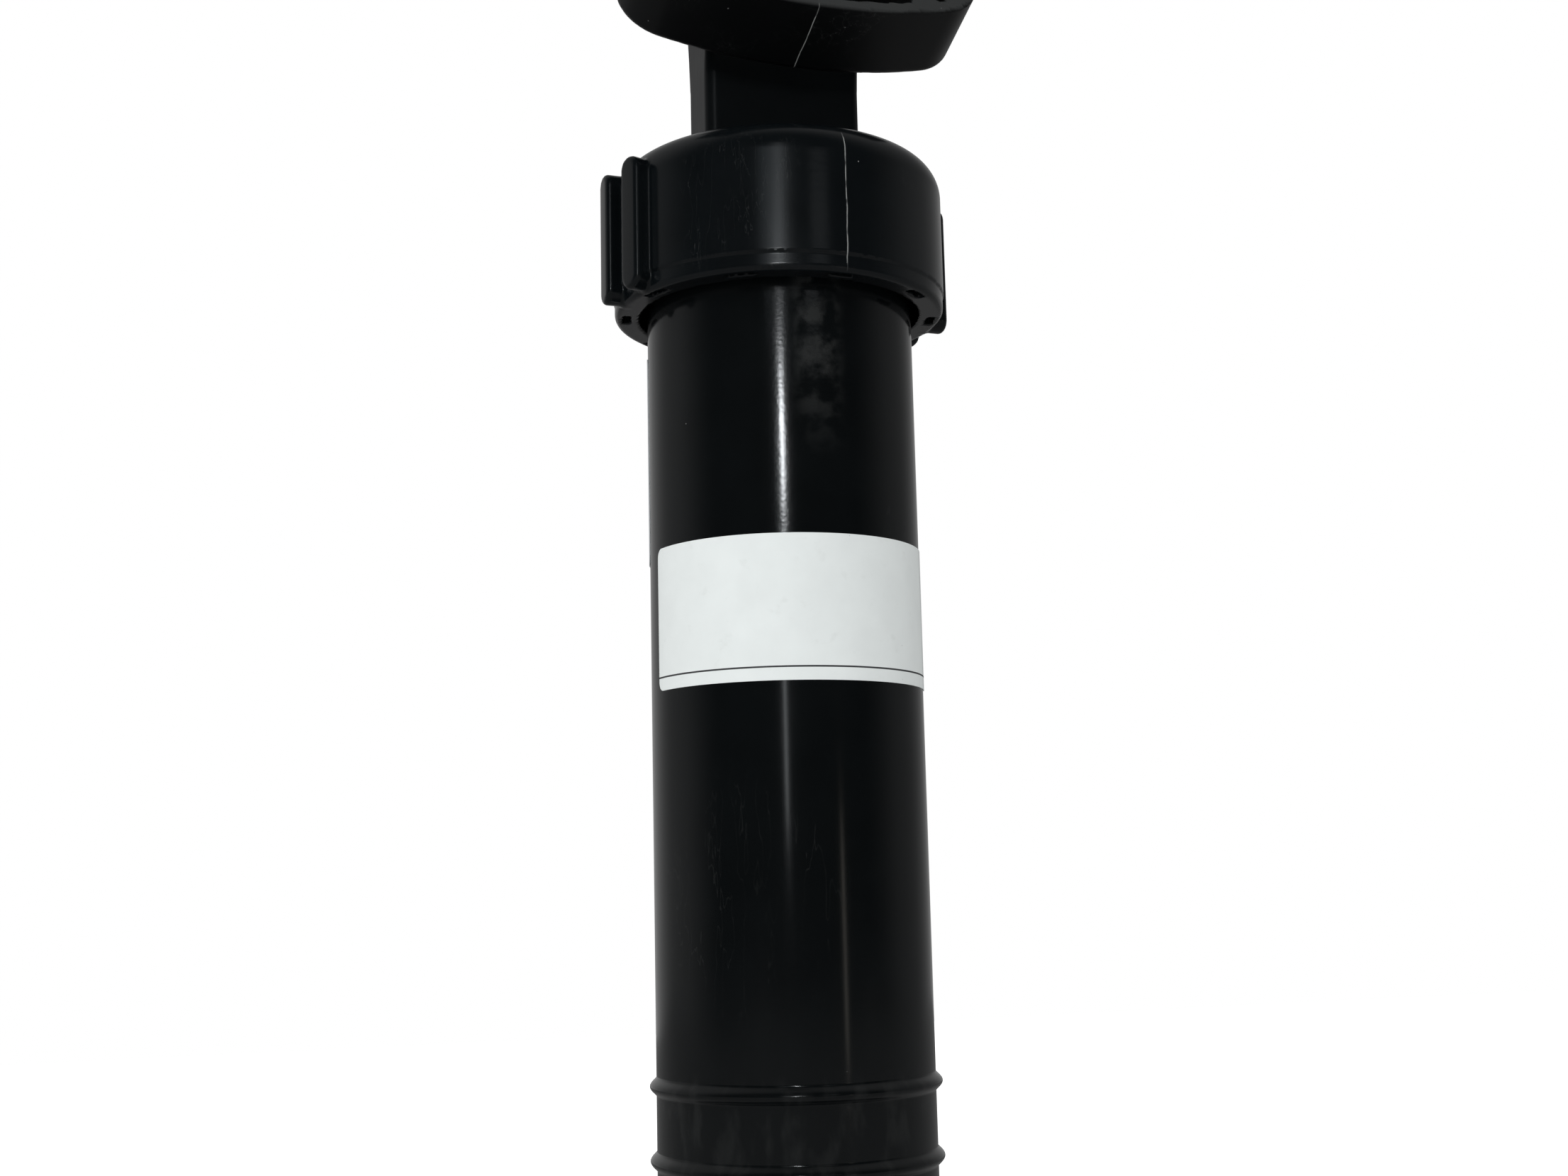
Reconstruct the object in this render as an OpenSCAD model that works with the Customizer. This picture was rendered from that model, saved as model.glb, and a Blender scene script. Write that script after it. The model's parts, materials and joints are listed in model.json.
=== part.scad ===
// Hydraulic trim tab actuator. A ram slides in a moulded cylinder, which hangs from a
// hinge base on the transom. A bracket hinged to the ram's eye carries the tab.
// Row frame: the origin is the centre of the base's screw circle on the transom face,
// X runs along the hinge pins, Z up along the cylinder at rest, and -Y towards the boat.

/* [Hinge base] */
// Width across the base
base_w = 65; // [62:0.5:72]
// Depth from the transom face to the outer face
base_depth = 15.8; // [15:0.1:20]
// Pin axis down to the lowest point of the base
base_drop = 28.2; // [27:0.1:33]
// Pin axis up to the top of the base
base_rise = 42; // [40:0.5:50]
// Lean of the cylinder away from the transom at rest, in degrees
base_lean = 22.35; // [16:0.05:26]
// Radius of the lower corners
base_corner_r = 9.6; // [7:0.1:12]
// Radius of the curved lower edge
base_bottom_r = 93.4; // [70:0.1:140]
// Outer wall and thin stiffening ribs
base_wall = 2.6; // [2.2:0.1:3.6]
// Thickness of the outer face
base_web = 4; // [3:0.1:5]
// Width of the well between the ear ribs
well_w = 36; // [34:0.2:38]
// Pin axis up to the top of the well
well_rise = 21; // [18:0.2:22]
// Thickness of each ear rib
rib_t = 5.2; // [4:0.1:6]
// Outer radius of the ears
ear_r = 9.5; // [8.5:0.1:11]
// Pin axis beyond the outer face
pin_standoff = 0.5; // [0.2:0.1:3]
// Pitch circle diameter of the three screws
screw_pcd = 61; // [60.5:0.5:63]
// Screw hole diameter
screw_hole_d = 6.6; // [5.5:0.1:7]
// Screw boss diameter
screw_boss_d = 13; // [11:0.1:14]

/* [Hinge pins] */
// Pin diameter
pin_d = 7.9; // [7.5:0.1:8.2]
// Wall of the plain bushes
bush_wall = 1; // [0.8:0.1:1.4]
// Thickness of the bush flanges
bush_flange_t = 1; // [0.8:0.1:1.4]
// Width of the bush flanges
bush_flange_w = 2.5; // [1.5:0.1:3]
// Pin head diameter
pin_head_d = 13; // [11:0.1:13.6]
// Pin head thickness
pin_head_t = 2.2; // [1.6:0.1:3]
// Thickness of the pin clips
clip_t = 1; // [0.8:0.1:1.4]

/* [Neck and eye] */
// Pin axis down to the top of the union nut
neck_len = 41.8; // [38:0.1:50]
// Width of the neck along the pin
neck_w = 30; // [28:0.1:31]
// Thickness of the neck
neck_t = 12; // [11:0.1:14]
// Radius of the neck's upright edges
neck_edge_r = 2; // [1:0.1:3]
// Outer radius of the eye
eye_r = 10; // [9:0.1:10.6]
// Diameter of the round collar that fills the nut's opening
collar_d = 34.2; // [33:0.1:36]

/* [Line port] */
// Distance of the port's axis below the pin axis
port_drop = 13; // [12.6:0.1:14]
// Thread diameter of the port
port_thread_d = 10; // [9:0.1:10.4]
// Thread length of the port nut
port_thread_len = 6; // [5:0.1:7]
// Across flats of the port nut
port_nut_af = 11; // [10.6:0.1:12]
// Thickness of the port nut's hexagon
port_nut_t = 5; // [4:0.1:6]
// Outside diameter of the hydraulic line
line_d = 6.35; // [6:0.05:6.5]
// Oil passage diameter
passage_d = 3.2; // [2:0.1:4]

/* [Union nut] */
// Wall of the nut outside its thread
nut_wall = 4.7; // [4.5:0.1:6]
// Height of the nut
nut_h = 27.9; // [27:0.1:31]
// Thickness of the nut's top
nut_web = 4.5; // [3.5:0.1:5.5]
// Radius of the nut's top shoulder
nut_shoulder_r = 6.3; // [4:0.1:7]
// Height of the lip below the mould line
nut_lip_h = 3.3; // [2.5:0.1:4]
// How far the lip draws in at the bottom face
nut_lip_in = 1; // [0.5:0.1:1.4]
// Width of the grip lugs
lug_w = 4.6; // [3.6:0.1:5.4]
// Length of the grip lugs
lug_len = 24.1; // [22:0.1:25]
// How far the lugs stand out
lug_h = 3; // [2:0.1:4]
// Turn of the nut when it is tight, in degrees
nut_turn = 9.5; // [-30:0.5:30]
// Number of square pockets in the bottom face
pocket_count = 10; // [6:1:12]
// Width of each pocket
pocket_w = 4.6; // [3:0.1:5]

/* [Cylinder tube] */
// Outside diameter of the tube
tube_od = 48.3; // [47:0.1:50]
// Bore of the tube
bore_d = 38.1; // [37:0.1:39]
// How far the tube reaches beyond its retaining ring
tube_tail = 3.95; // [3.5:0.05:8]
// Height of the tube's thread
thread_h = 1.3; // [1.2:0.05:1.5]
// Thread pitch
thread_pitch = 3.2; // [3:0.1:3.4]
// Height of each bead
bead_h = 2.3; // [1.6:0.1:3]
// Distance between beads
bead_pitch = 12.45; // [10:0.05:13]
// Lower end of the tube up to the lowest bead
bead_rise = 11.14; // [8:0.01:14]
// Number of beads
bead_count = 3; // [1:1:3]

/* [Cylinder head] */
// Thickness of the head's flange
flange_t = 4.6; // [4:0.1:6]
// Length of the plug below the flange
plug_len = 20; // [16:0.1:21]
// Thickness of the washer under the nut's top
washer_t = 1; // [0.8:0.1:1.5]
// Section of the bore O-rings
o_ring_d = 2.66; // [2.2:0.01:3]

/* [Ram] */
// Travel of the ram
stroke = 63.5; // [50:0.5:64]
// Rod diameter
rod_d = 15.9; // [14:0.1:16.2]
// Diameter of the rod's threaded spigot
spigot_d = 10; // [8:0.1:10.4]
// Height of the piston
piston_h = 12.8; // [11:0.1:14]
// Height of the cup seal
cup_h = 9; // [8:0.1:9.4]
// Height of the wear ring
wear_ring_h = 7; // [5:0.1:8]
// Height of the lock nut
lock_nut_h = 6; // [5:0.1:6]
// Across flats of the lock nut
lock_nut_af = 17; // [15:0.1:18]
// Thickness of the spring's seat washer
seat_t = 2; // [1.5:0.1:3]

/* [Return spring] */
// Length of the spacer that stops the ram
spacer_len = 50.8; // [46:0.1:52]
// Spacer outside diameter
spacer_od = 21; // [19:0.1:22]
// Spring wire diameter
wire_d = 3; // [2.4:0.1:3.2]
// Mean diameter of the spring
spring_d = 26.8; // [26:0.1:28]
// Number of turns
spring_turns = 13; // [8:1:14]

/* [Rod gland] */
// Height of the rod gland
gland_h = 24; // [22:0.1:25]
// Thickness of the retaining ring
retainer_t = 1.6; // [1.2:0.1:2]
// Height of the rod seal
rod_seal_h = 6; // [5:0.1:7]
// Height of the wiper
wiper_h = 4; // [3:0.1:5]

/* [Rod eye] */
// Gap between the tube and the rod eye with the ram drawn in
eye_gap = 4; // [3:0.1:24]
// Width of the rod eye along the pin
rod_eye_w = 22; // [20:0.1:24]
// Outer diameter of the rod eye's socket
socket_d = 24; // [22:0.1:26]
// Depth of the socket
socket_len = 20; // [16:0.1:21]
// Cross pin diameter
cross_pin_d = 4; // [3:0.1:5]

/* [Tab bracket] */
// Length of the bracket's plate along the pin
plate_w = 58; // [56:0.5:66]
// Width of the bracket's plate
plate_d = 44; // [42:0.5:46]
// Thickness of the plate
plate_t = 6; // [4:0.1:8]
// Radius of the plate's corners
plate_corner_r = 8; // [4:0.1:8]
// Pin axis down to the plate
bracket_drop = 14; // [13.4:0.1:18]
// Thickness of the bracket's ears
bracket_ear_t = 6; // [5:0.1:7]
// Distance between the screws along the pin
tab_screw_x = 42; // [41:0.5:46]
// Distance between the screws across the pin
tab_screw_y = 28; // [26:0.5:30]
// Tab screw hole diameter
tab_hole_d = 5.4; // [4.5:0.1:6]

/* [Label and decal] */
// Height of the label
label_h = 24.9; // [20:0.1:30]
// Length of the label round the tube
label_len = 66.7; // [50:0.1:70]
// Pin axis down to the label's middle
label_reach = 126.2; // [110:0.1:140]
// Turn of the label's middle from the boat side, in degrees
label_turn = -6.7; // [-30:0.1:30]
// Height of the bare decal on the tube's side
decal_h = 38; // [30:0.5:40]
// Length of the decal round the tube
decal_len = 26; // [20:0.5:30]
// Pin axis down to the decal's middle
decal_reach = 96; // [92:0.5:110]
// Turn of the decal's middle from the boat side, in degrees
decal_turn = -133; // [-140:1:-120]

/* [Hidden] */

$fn = 96;

// Clearances
cut = 1;                // overrun of a cut beyond the face that it opens
fit_gap = 0.02;         // between pieces that are pressed or bonded together
run_gap = 0.05;         // radial running clearance of pins, rod and piston
side_gap = 0.3;         // beside the eyes, and at the spring's ends
flange_proud = 0.2;     // how far a bush flange stands out of its recess
plug_gap = 0.1;         // head plug and gland in the bore
piston_gap = 0.15;      // piston in the bore
stop_gap = 0.1;         // left at the end of the stroke
thread_gap = 0.15;      // between the two threads
collar_gap = 0.3;       // round the collar in the nut's opening

// Pins and bushes
pin_r = pin_d / 2;
bush_r = pin_r + run_gap;
bush_out_r = bush_r + bush_wall;
bush_hole_r = bush_out_r + fit_gap;
flange_r = bush_out_r + bush_flange_w;
clip_inset_share = 0.2;
clip_r = pin_head_d / 2;
clip_bite_r = pin_r * (1 - clip_inset_share);
clip_mouth_share = 0.75;
clip_gap = 0.1;
pin_tail = 1.6;

// Base, in its own frame: X across, U out from the transom, V up along it
pin_u = base_depth + pin_standoff;
ear_in = neck_w / 2 + side_gap + flange_proud;
ear_out = well_w / 2 + rib_t;
base_cx = base_w / 2 - base_corner_r;
base_arc_v = base_bottom_r - base_drop;
base_arc_turn = asin(base_cx / (base_bottom_r - base_corner_r));
base_corner_v = base_arc_v - (base_bottom_r - base_corner_r) * cos(base_arc_turn);
base_top_v = base_rise - base_w / 2;
clip_relief = 0.7;
channel_r = pin_head_d / 2 + clip_relief;
channel_wall = 2.6;
rib_share = 0.85;
rib_thin = base_wall * rib_share;
side_rib_v = base_top_v + ear_r;
arc_steps = 10;
screw_r = screw_pcd / 2;
screw_places = [for (a = [90, 210, 330]) [screw_r * cos(a), screw_r * sin(a)]];

// Cylinder, along Z down from the upper pin axis
nut_top = -neck_len;
nut_bottom = nut_top - nut_h;
washer_top = nut_top - nut_web;
flange_top = washer_top - washer_t;
tube_top = flange_top - flange_t;
plug_bottom = tube_top - plug_len;
tube_r = tube_od / 2;
bore_r = bore_d / 2;
thread_r = tube_r + thread_h;
nut_root_r = thread_r + thread_gap;
nut_r = nut_root_r + nut_wall;
flange_out_r = thread_r - thread_gap;
collar_r = collar_d / 2;
opening_r = collar_r + collar_gap;
collar_proud = 0.8;
flare_drop_share = 2.4;
flare_top_share = 0.2;
flare_y_share = 0.96;
flare_drop = eye_r * flare_drop_share;
flare_top = eye_r * flare_top_share;
head_ring_share = 0.4;
head_ring_z = tube_top - plug_len * head_ring_share;

// Union nut and thread
thread_first = tube_top - thread_pitch / 2;
thread_count = floor((tube_top - nut_bottom - nut_lip_h) / thread_pitch);
root_overlap = 0.3;
lug_half_turn = 9;
pocket_offset = -6.5;
pocket_place_share = 0.35;
pocket_in_r = nut_root_r + (nut_r - nut_root_r) * pocket_place_share;
pocket_t = 1.4;
pocket_deep = 3;

// Ram stack, from the head's plug down
stack_gap = 0.3;
spigot_r = spigot_d / 2;
rod_r = rod_d / 2;
cup_base_t = 3;
cup_lip_share = 1.1;
cup_washer_t = 2;
nut_face = plug_bottom - stack_gap;
cup_washer_top = nut_face - lock_nut_h;
cup_floor = cup_washer_top - cup_washer_t;
piston_top = cup_floor - cup_base_t;
piston_under = piston_top - piston_h;
seat_under = piston_under - seat_t;
gland_top = seat_under - stroke - spacer_len - stop_gap;
gland_bottom = gland_top - gland_h;
groove_gap = 0.05;
retainer_top = gland_bottom - groove_gap;
retainer_bottom = retainer_top - retainer_t;
tube_end = retainer_bottom - tube_tail;
bead_first = tube_end + bead_rise + (bead_count - 1) * bead_pitch;
rod_eye_drop = 14;
eye_z = tube_end - eye_gap - socket_len - rod_eye_drop;
rod_end = eye_z + rod_eye_drop;
socket_top = rod_end + socket_len;
socket_floor = 3;
cross_z = socket_top - socket_len / 2;

// Line port, in its own frame: along U, away from the transom
port_boss_len = 4.4;
port_boss_wall = 2.5;
port_boss_r = port_thread_d / 2 + port_boss_wall;
port_face_u = -(neck_t / 2 - port_drop * sin(base_lean)) / cos(base_lean) - port_boss_len;
port_nut_r = port_nut_af / sqrt(3);
spot_face_gap = 0.4;
ferrule_len = 3.3;
line_seat_len = 4;
line_gap = 0.075;
line_r = line_d / 2 + line_gap;
port_thread_end = port_face_u + port_thread_len + ferrule_len + stack_gap;
port_end = port_thread_end + line_seat_len;
passage_y = port_end * cos(base_lean) - port_drop * sin(base_lean);
passage_z = -port_end * sin(base_lean) - port_drop * cos(base_lean);

// Seals
ring_groove_r = bore_r - o_ring_d;
groove_share = 1.36;
ring_groove_h = o_ring_d * groove_share;
ring_mid_r = bore_r - o_ring_d / 2;
ring_r = o_ring_d / 2 - fit_gap;
wear_ring_t = 2;
wear_slot = 0.8;
wear_low = piston_under + (piston_h - wear_ring_h) / 2;
wear_in_r = bore_r - wear_ring_t;
spacer_gap = 0.25;
gland_ring_share = 0.35;
gland_ring_z = gland_top - gland_h * gland_ring_share;
seal_t = 4;
seal_out_r = rod_r + seal_t;
wiper_t = 3.4;
wiper_out_r = rod_r + wiper_t;
wiper_low = gland_bottom + groove_gap;
wiper_proud = 1.2;
seal_land = 3;
seal_low = wiper_low + wiper_h + seal_land;
retainer_bite = 1.2;
retainer_w = 2.4;
retainer_lug_r = 2.4;

// Return spring
spring_low = gland_top + side_gap + wire_d / 2;
spring_high = seat_under - side_gap - wire_d / 2;
closed_gap = 0.5;
closed_pitch = wire_d + closed_gap;
open_pitch = (spring_high - spring_low - 2 * closed_pitch) / (spring_turns - 2);
rings_a_turn = 8;
wire_sides = 6;

// Bracket
bracket_in = rod_eye_w / 2 + side_gap + flange_proud;
bracket_out = bracket_in + bracket_ear_t;
ear_foot_share = 1.5;
ear_foot = ear_r * ear_foot_share;
gusset_t = 4;
gusset_gap = 0.8;
gusset_reach = bracket_drop - pin_head_d / 2 - gusset_gap;
film_t = 0.15;

module in_base() rotate([-base_lean, 0, 0]) children();

module at_upper_pin()
    translate([0, pin_u * cos(base_lean), -pin_u * sin(base_lean)]) children();

module at_lower_pin() at_upper_pin() translate([0, 0, eye_z]) children();

// The base's own directions, with the upper pin axis as their origin
module in_port() at_upper_pin() rotate([-base_lean, 0, 0]) children();

module both_sides() for (side = [0, 1]) mirror([side, 0, 0]) children();

module rod_x(x0, x1, r) translate([x0, 0, 0]) rotate([0, 90, 0]) cylinder(r = r, h = x1 - x0);

module ring_x(x0, x1, r0, r1)
    translate([x0, 0, 0]) rotate([0, 90, 0])
        rotate_extrude() translate([r0, 0]) square([r1 - r0, x1 - x0]);

module ring(r0, r1, z0, z1) rotate_extrude() translate([r0, z0]) square([r1 - r0, z1 - z0]);

module rod_z(r, z0, z1) translate([0, 0, z0]) cylinder(r = r, h = z1 - z0);

// Extrudes an outline drawn in X and V from u0 to u1
module outwards(u0, u1) translate([0, u1, 0]) rotate([90, 0, 0]) linear_extrude(u1 - u0) children();

// A round bar along U
module rod_u(x, v, u0, u1, r) outwards(u0, u1) translate([x, v]) circle(r = r);

function arc(cx, cy, r, a0, a1, n) =
    [for (i = [0:n]) let (a = a0 + (a1 - a0) * i / n) [cx + r * cos(a), cy + r * sin(a)]];

function base_side(inset) = concat(
    arc(0, base_arc_v, base_bottom_r - inset, -90, base_arc_turn - 90, arc_steps),
    arc(base_cx, base_corner_v, base_corner_r - inset, base_arc_turn - 90, 0, arc_steps),
    arc(0, base_top_v, base_w / 2 - inset, 0, 90, 3 * arc_steps));

module base_outline(inset) {
    side = base_side(inset);
    last = len(side) - 1;
    polygon(concat(side, [for (i = [last:-1:0]) [-side[i][0], side[i][1]]]));
}

// A box in the base's frame between two corners
module base_box(a, b) translate(a) cube([b[0] - a[0], b[1] - a[1], b[2] - a[2]]);

// Pieces on the transom

module base_shell() difference() {
    outwards(0, base_depth) base_outline(0);
    outwards(-cut, base_depth - base_web) base_outline(base_wall);
}

module base_ribs() {
    intersection() {
        outwards(0, base_depth - base_web / 2) base_outline(base_wall / 2);
        union() {
            for (place = screw_places) rod_u(place[0], place[1], 0, base_depth, screw_boss_d / 2);
            both_sides() base_box([well_w / 2, 0, -base_drop], [ear_out, base_depth, base_rise]);
            both_sides() base_box([0, 0, side_rib_v], [base_w / 2, base_depth, side_rib_v + rib_thin]);
            both_sides() translate([0, pin_u, 0]) rod_x(ear_out, base_w / 2, channel_r + channel_wall);
            base_box([-ear_out, 0, well_rise], [ear_out, base_depth, well_rise + base_wall]);
            base_box([-rib_thin / 2, 0, screw_r], [rib_thin / 2, base_depth, base_rise]);
        }
    }
}

module upper_hinge_base() color("#2a2c2e") in_base() {
    difference() {
        union() {
            base_shell();
            base_ribs();
            both_sides() translate([0, pin_u, 0]) rod_x(ear_in, ear_out, ear_r);
        }
        // The well, which lets the eye swing and the hydraulic line through
        difference() {
            outwards(-cut, base_depth + cut) intersection() {
                base_outline(base_wall);
                translate([-well_w / 2, -base_drop]) square([well_w, base_drop + well_rise]);
            }
            both_sides() translate([0, pin_u, 0]) rod_x(ear_in, ear_out, ear_r);
        }
        // Channels that take the pin's head and its clip
        both_sides() translate([0, pin_u, 0]) rod_x(ear_out, base_w / 2 + cut, channel_r);
        for (place = screw_places) rod_u(place[0], place[1], -cut, base_depth + cut, screw_hole_d / 2);
        translate([0, pin_u, 0]) rod_x(-base_w, base_w, bush_hole_r);
        both_sides() translate([0, pin_u, 0])
            rod_x(ear_in - cut, ear_in + bush_flange_t - flange_proud, flange_r + fit_gap);
    }
}

// A pair of flanged bushes whose flanges face each other
module flanged_bushes(inner, outer) both_sides() {
    face = inner - flange_proud;
    ring_x(face, face + bush_flange_t, bush_r, flange_r);
    ring_x(face, outer, bush_r, bush_out_r);
}

// A headed pin through two ears, with a groove for its clip at the other end
module headed_pin(outer) {
    groove_x = -outer - clip_gap;
    difference() {
        union() {
            rod_x(groove_x - clip_t - clip_gap - pin_tail, outer, pin_r);
            rod_x(outer, outer + pin_head_t, pin_head_d / 2);
        }
        ring_x(groove_x - clip_t - clip_gap, groove_x, clip_bite_r, pin_r + cut);
    }
}

module pin_clip(outer) {
    clip_x = -outer - clip_gap - clip_gap / 2;
    mouth = clip_bite_r * clip_mouth_share;
    difference() {
        rod_x(clip_x - clip_t, clip_x, clip_r);
        rod_x(clip_x - clip_t - cut, clip_x + cut, clip_bite_r + fit_gap);
        translate([clip_x - clip_t - cut, -mouth, 0]) cube([clip_t + 2 * cut, 2 * mouth, clip_r + cut]);
    }
}

module ear_bushes() color("ivory") at_upper_pin() flanged_bushes(ear_in, ear_out);

module upper_hinge_pin() color("silver") at_upper_pin() headed_pin(ear_out);

module upper_pin_clip() color("silver") at_upper_pin() pin_clip(ear_out);

// Pieces of the cylinder

// Extrudes the neck's outline, seen along its width
module neck_profile() {
    flare_y = eye_r * flare_y_share;
    foot_y = neck_t / 2 - neck_edge_r;
    translate([-neck_w / 2, 0, 0]) rotate([90, 0, 90]) linear_extrude(neck_w) {
        circle(r = eye_r);
        polygon([[-flare_y, -flare_top], [-foot_y, -flare_drop],
                 [foot_y, -flare_drop], [flare_y, -flare_top]]);
    }
}

module rounded_bar(w, d, r, z0, z1) {
    for (x = [-1, 1], y = [-1, 1])
        translate([x * (w / 2 - r), y * (d / 2 - r), z0]) cylinder(r = r, h = z1 - z0);
    translate([-w / 2, -d / 2 + r, z0]) cube([w, d - 2 * r, z1 - z0]);
    translate([-w / 2 + r, -d / 2, z0]) cube([w - 2 * r, d, z1 - z0]);
}

module along_port() in_port() translate([0, 0, -port_drop]) rotate([-90, 0, 0]) children();

module cylinder_head() color("#26282a") difference() {
    union() {
        at_upper_pin() {
            neck_profile();
            rounded_bar(neck_w, neck_t, neck_edge_r, nut_top, -flare_top);
            rod_z(collar_r, flange_top - flange_t / 2, nut_top + collar_proud);
            rod_z(flange_out_r, tube_top, flange_top);
            difference() {
                rod_z(bore_r - plug_gap, plug_bottom, tube_top + flange_t / 2);
                ring_groove(head_ring_z);
            }
        }
        along_port() rod_z(port_boss_r, port_face_u, port_end);
    }
    at_upper_pin() rod_x(-neck_w, neck_w, bush_hole_r);
    along_port() {
        rod_z(port_thread_d / 2, port_face_u - cut, port_thread_end);
        rod_z(line_r, port_face_u, port_end);
        // A spot face round the nut's hexagon
        rod_z(port_nut_r + spot_face_gap, port_face_u - port_nut_t - cut, port_face_u);
    }
    at_upper_pin() translate([0, passage_y, 0])
        rod_z(passage_d / 2, plug_bottom - cut, passage_z);
}

module neck_bush() color("ivory") at_upper_pin() ring_x(-neck_w / 2, neck_w / 2, bush_r, bush_out_r);

module port_nut() color("#b5924c") along_port() difference() {
    union() {
        translate([0, 0, port_face_u - port_nut_t])
            cylinder(r = port_nut_r, h = port_nut_t, $fn = 6);
        rod_z(port_thread_d / 2 - fit_gap, port_face_u - port_nut_t / 2, port_face_u + port_thread_len);
    }
    rod_z(line_r, port_face_u - port_nut_t - cut, port_face_u + port_thread_len + cut);
}

module port_ferrule() color("#c6a558") along_port() {
    top = port_face_u + port_thread_len;
    belly = port_thread_d / 2 - run_gap;
    nose = (line_r + belly) / 2;
    rotate_extrude() polygon([[line_r, top], [nose, top], [belly, top + ferrule_len / 3],
                              [nose, top + ferrule_len], [line_r, top + ferrule_len]]);
}

module ring_groove(z) ring(ring_groove_r, bore_r, z - ring_groove_h / 2, z + ring_groove_h / 2);

// An O-ring at rest in a groove that faces the bore
module bore_ring(z) rotate_extrude() translate([ring_mid_r, z]) circle(r = ring_r, $fn = 32);

module head_o_ring() color("#151617") at_upper_pin() bore_ring(head_ring_z);

module thrust_washer() color("whitesmoke") at_upper_pin()
    ring(opening_r, flange_out_r, flange_top, washer_top);

// Ring ridges that stand for a thread: inward or outward from r0 to r1
module thread_ridges(r0, r1, first, count) {
    foot = thread_pitch / 2 - thread_gap;
    crest = foot / 2;
    rotate_extrude() for (i = [0:count - 1]) {
        z = first - i * thread_pitch;
        polygon([[r0, z - foot / 2], [r1, z - crest / 2], [r1, z + crest / 2], [r0, z + foot / 2]]);
    }
}

module nut_body() {
    lip_z = nut_bottom + nut_lip_h;
    bottom_r = nut_r - nut_lip_in;
    rotate_extrude() polygon(concat(
        [[opening_r, nut_top]],
        arc(nut_r - nut_shoulder_r, nut_top - nut_shoulder_r, nut_shoulder_r, 90, 0, arc_steps),
        [[nut_r, lip_z], [nut_r - nut_lip_in / 4, lip_z - nut_lip_in / 4]],
        arc(bottom_r - nut_lip_in, nut_bottom + nut_lip_in, nut_lip_in, 0, -90, arc_steps / 2),
        [[nut_root_r + nut_lip_in / 2, nut_bottom], [nut_root_r, nut_bottom + nut_lip_in / 2],
         [nut_root_r, washer_top], [opening_r, washer_top]]));
}

// One grip lug, standing out on the boat side of the nut
module lug() {
    half = lug_len / 2 - lug_w / 2;
    mid_z = nut_bottom + lug_len / 2 + nut_lip_in / 4;
    translate([0, -nut_root_r - (nut_r - nut_root_r) / 2, mid_z]) rotate([90, 0, 0])
        linear_extrude((nut_r - nut_root_r) / 2 + lug_h) {
            square([lug_w, 2 * half], center = true);
            for (end = [-1, 1]) translate([0, end * half]) circle(r = lug_w / 2, $fn = 32);
        }
}

module union_nut() color("#303436") at_upper_pin() {
    difference() {
        union() {
            nut_body();
            for (pair = [-90, 90], half = [-1, 1])
                rotate([0, 0, nut_turn + pair + half * lug_half_turn]) lug();
        }
        for (i = [0:pocket_count - 1])
            rotate([0, 0, nut_turn + pocket_offset + i * 360 / pocket_count])
                translate([-pocket_w / 2, -pocket_in_r - pocket_t, nut_bottom - cut])
                    cube([pocket_w, pocket_t, pocket_deep + cut]);
    }
    thread_ridges(nut_root_r + root_overlap, tube_r + thread_gap, thread_first - thread_pitch / 2,
                  thread_count - 1);
}

module cylinder_tube() color("#232628") at_upper_pin() {
    difference() {
        union() {
            rod_z(tube_r, tube_end, tube_top);
            for (i = [0:bead_count - 1])
                rotate_extrude() translate([tube_r - fit_gap, bead_first - i * bead_pitch])
                    circle(r = bead_h / 2, $fn = 32);
            thread_ridges(tube_r - root_overlap, thread_r, thread_first, thread_count);
        }
        rod_z(bore_r, tube_end - cut, tube_top + cut);
        ring(bore_r - cut, bore_r + retainer_bite,
             retainer_bottom - groove_gap, retainer_top + groove_gap);
    }
}

// A thin film bonded round the tube, with its middle in the direction turn
module film(height, length, reach, turn) {
    r = tube_r + fit_gap;
    sweep = length / r * 180 / PI;
    translate([0, 0, -reach - height / 2]) rotate([0, 0, turn - 90 - sweep / 2])
        rotate_extrude(angle = sweep) translate([r, 0]) square([film_t, height]);
}

module rating_label() color("white") at_upper_pin() film(label_h, label_len, label_reach, label_turn);

module side_decal() color("#c9ccce") at_upper_pin() film(decal_h, decal_len, decal_reach, decal_turn);

// Return spring: closed end turns and even working turns, swept as one tube
function spring_z(t) =
    t < 1 ? spring_low + closed_pitch * t :
    t > spring_turns - 1 ? spring_high - closed_pitch * (spring_turns - t) :
    spring_low + closed_pitch + open_pitch * (t - 1);

function spring_point(t) = [spring_d / 2 * cos(360 * t), spring_d / 2 * sin(360 * t), spring_z(t)];

function wire_ring(t) = [for (k = [0:wire_sides - 1])
    let (a = 360 * k / wire_sides, r = spring_d / 2 + wire_d / 2 * cos(a))
        [r * cos(360 * t), r * sin(360 * t), spring_z(t) + wire_d / 2 * sin(a)]];

module return_spring() color("lightsteelblue") at_upper_pin() {
    count = spring_turns * rings_a_turn;
    rings = [for (i = [0:count]) wire_ring(i / rings_a_turn)];
    points = [for (one = rings) for (p = one) p];
    sides = [for (i = [0:count - 1], k = [0:wire_sides - 1])
        let (a = i * wire_sides + k, b = i * wire_sides + (k + 1) % wire_sides)
            each [[a, b, b + wire_sides], [a, b + wire_sides, a + wire_sides]]];
    caps = [for (k = [1:wire_sides - 2]) each [[0, k + 1, k],
        [count * wire_sides, count * wire_sides + k, count * wire_sides + k + 1]]];
    polyhedron(points = points, faces = concat(sides, caps));
    gaps = [for (i = [0:count - rings_a_turn])
        norm(spring_point((i + rings_a_turn) / rings_a_turn) - spring_point(i / rings_a_turn)) - wire_d];
    echo(least_spring_gap = min(gaps));
}

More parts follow.
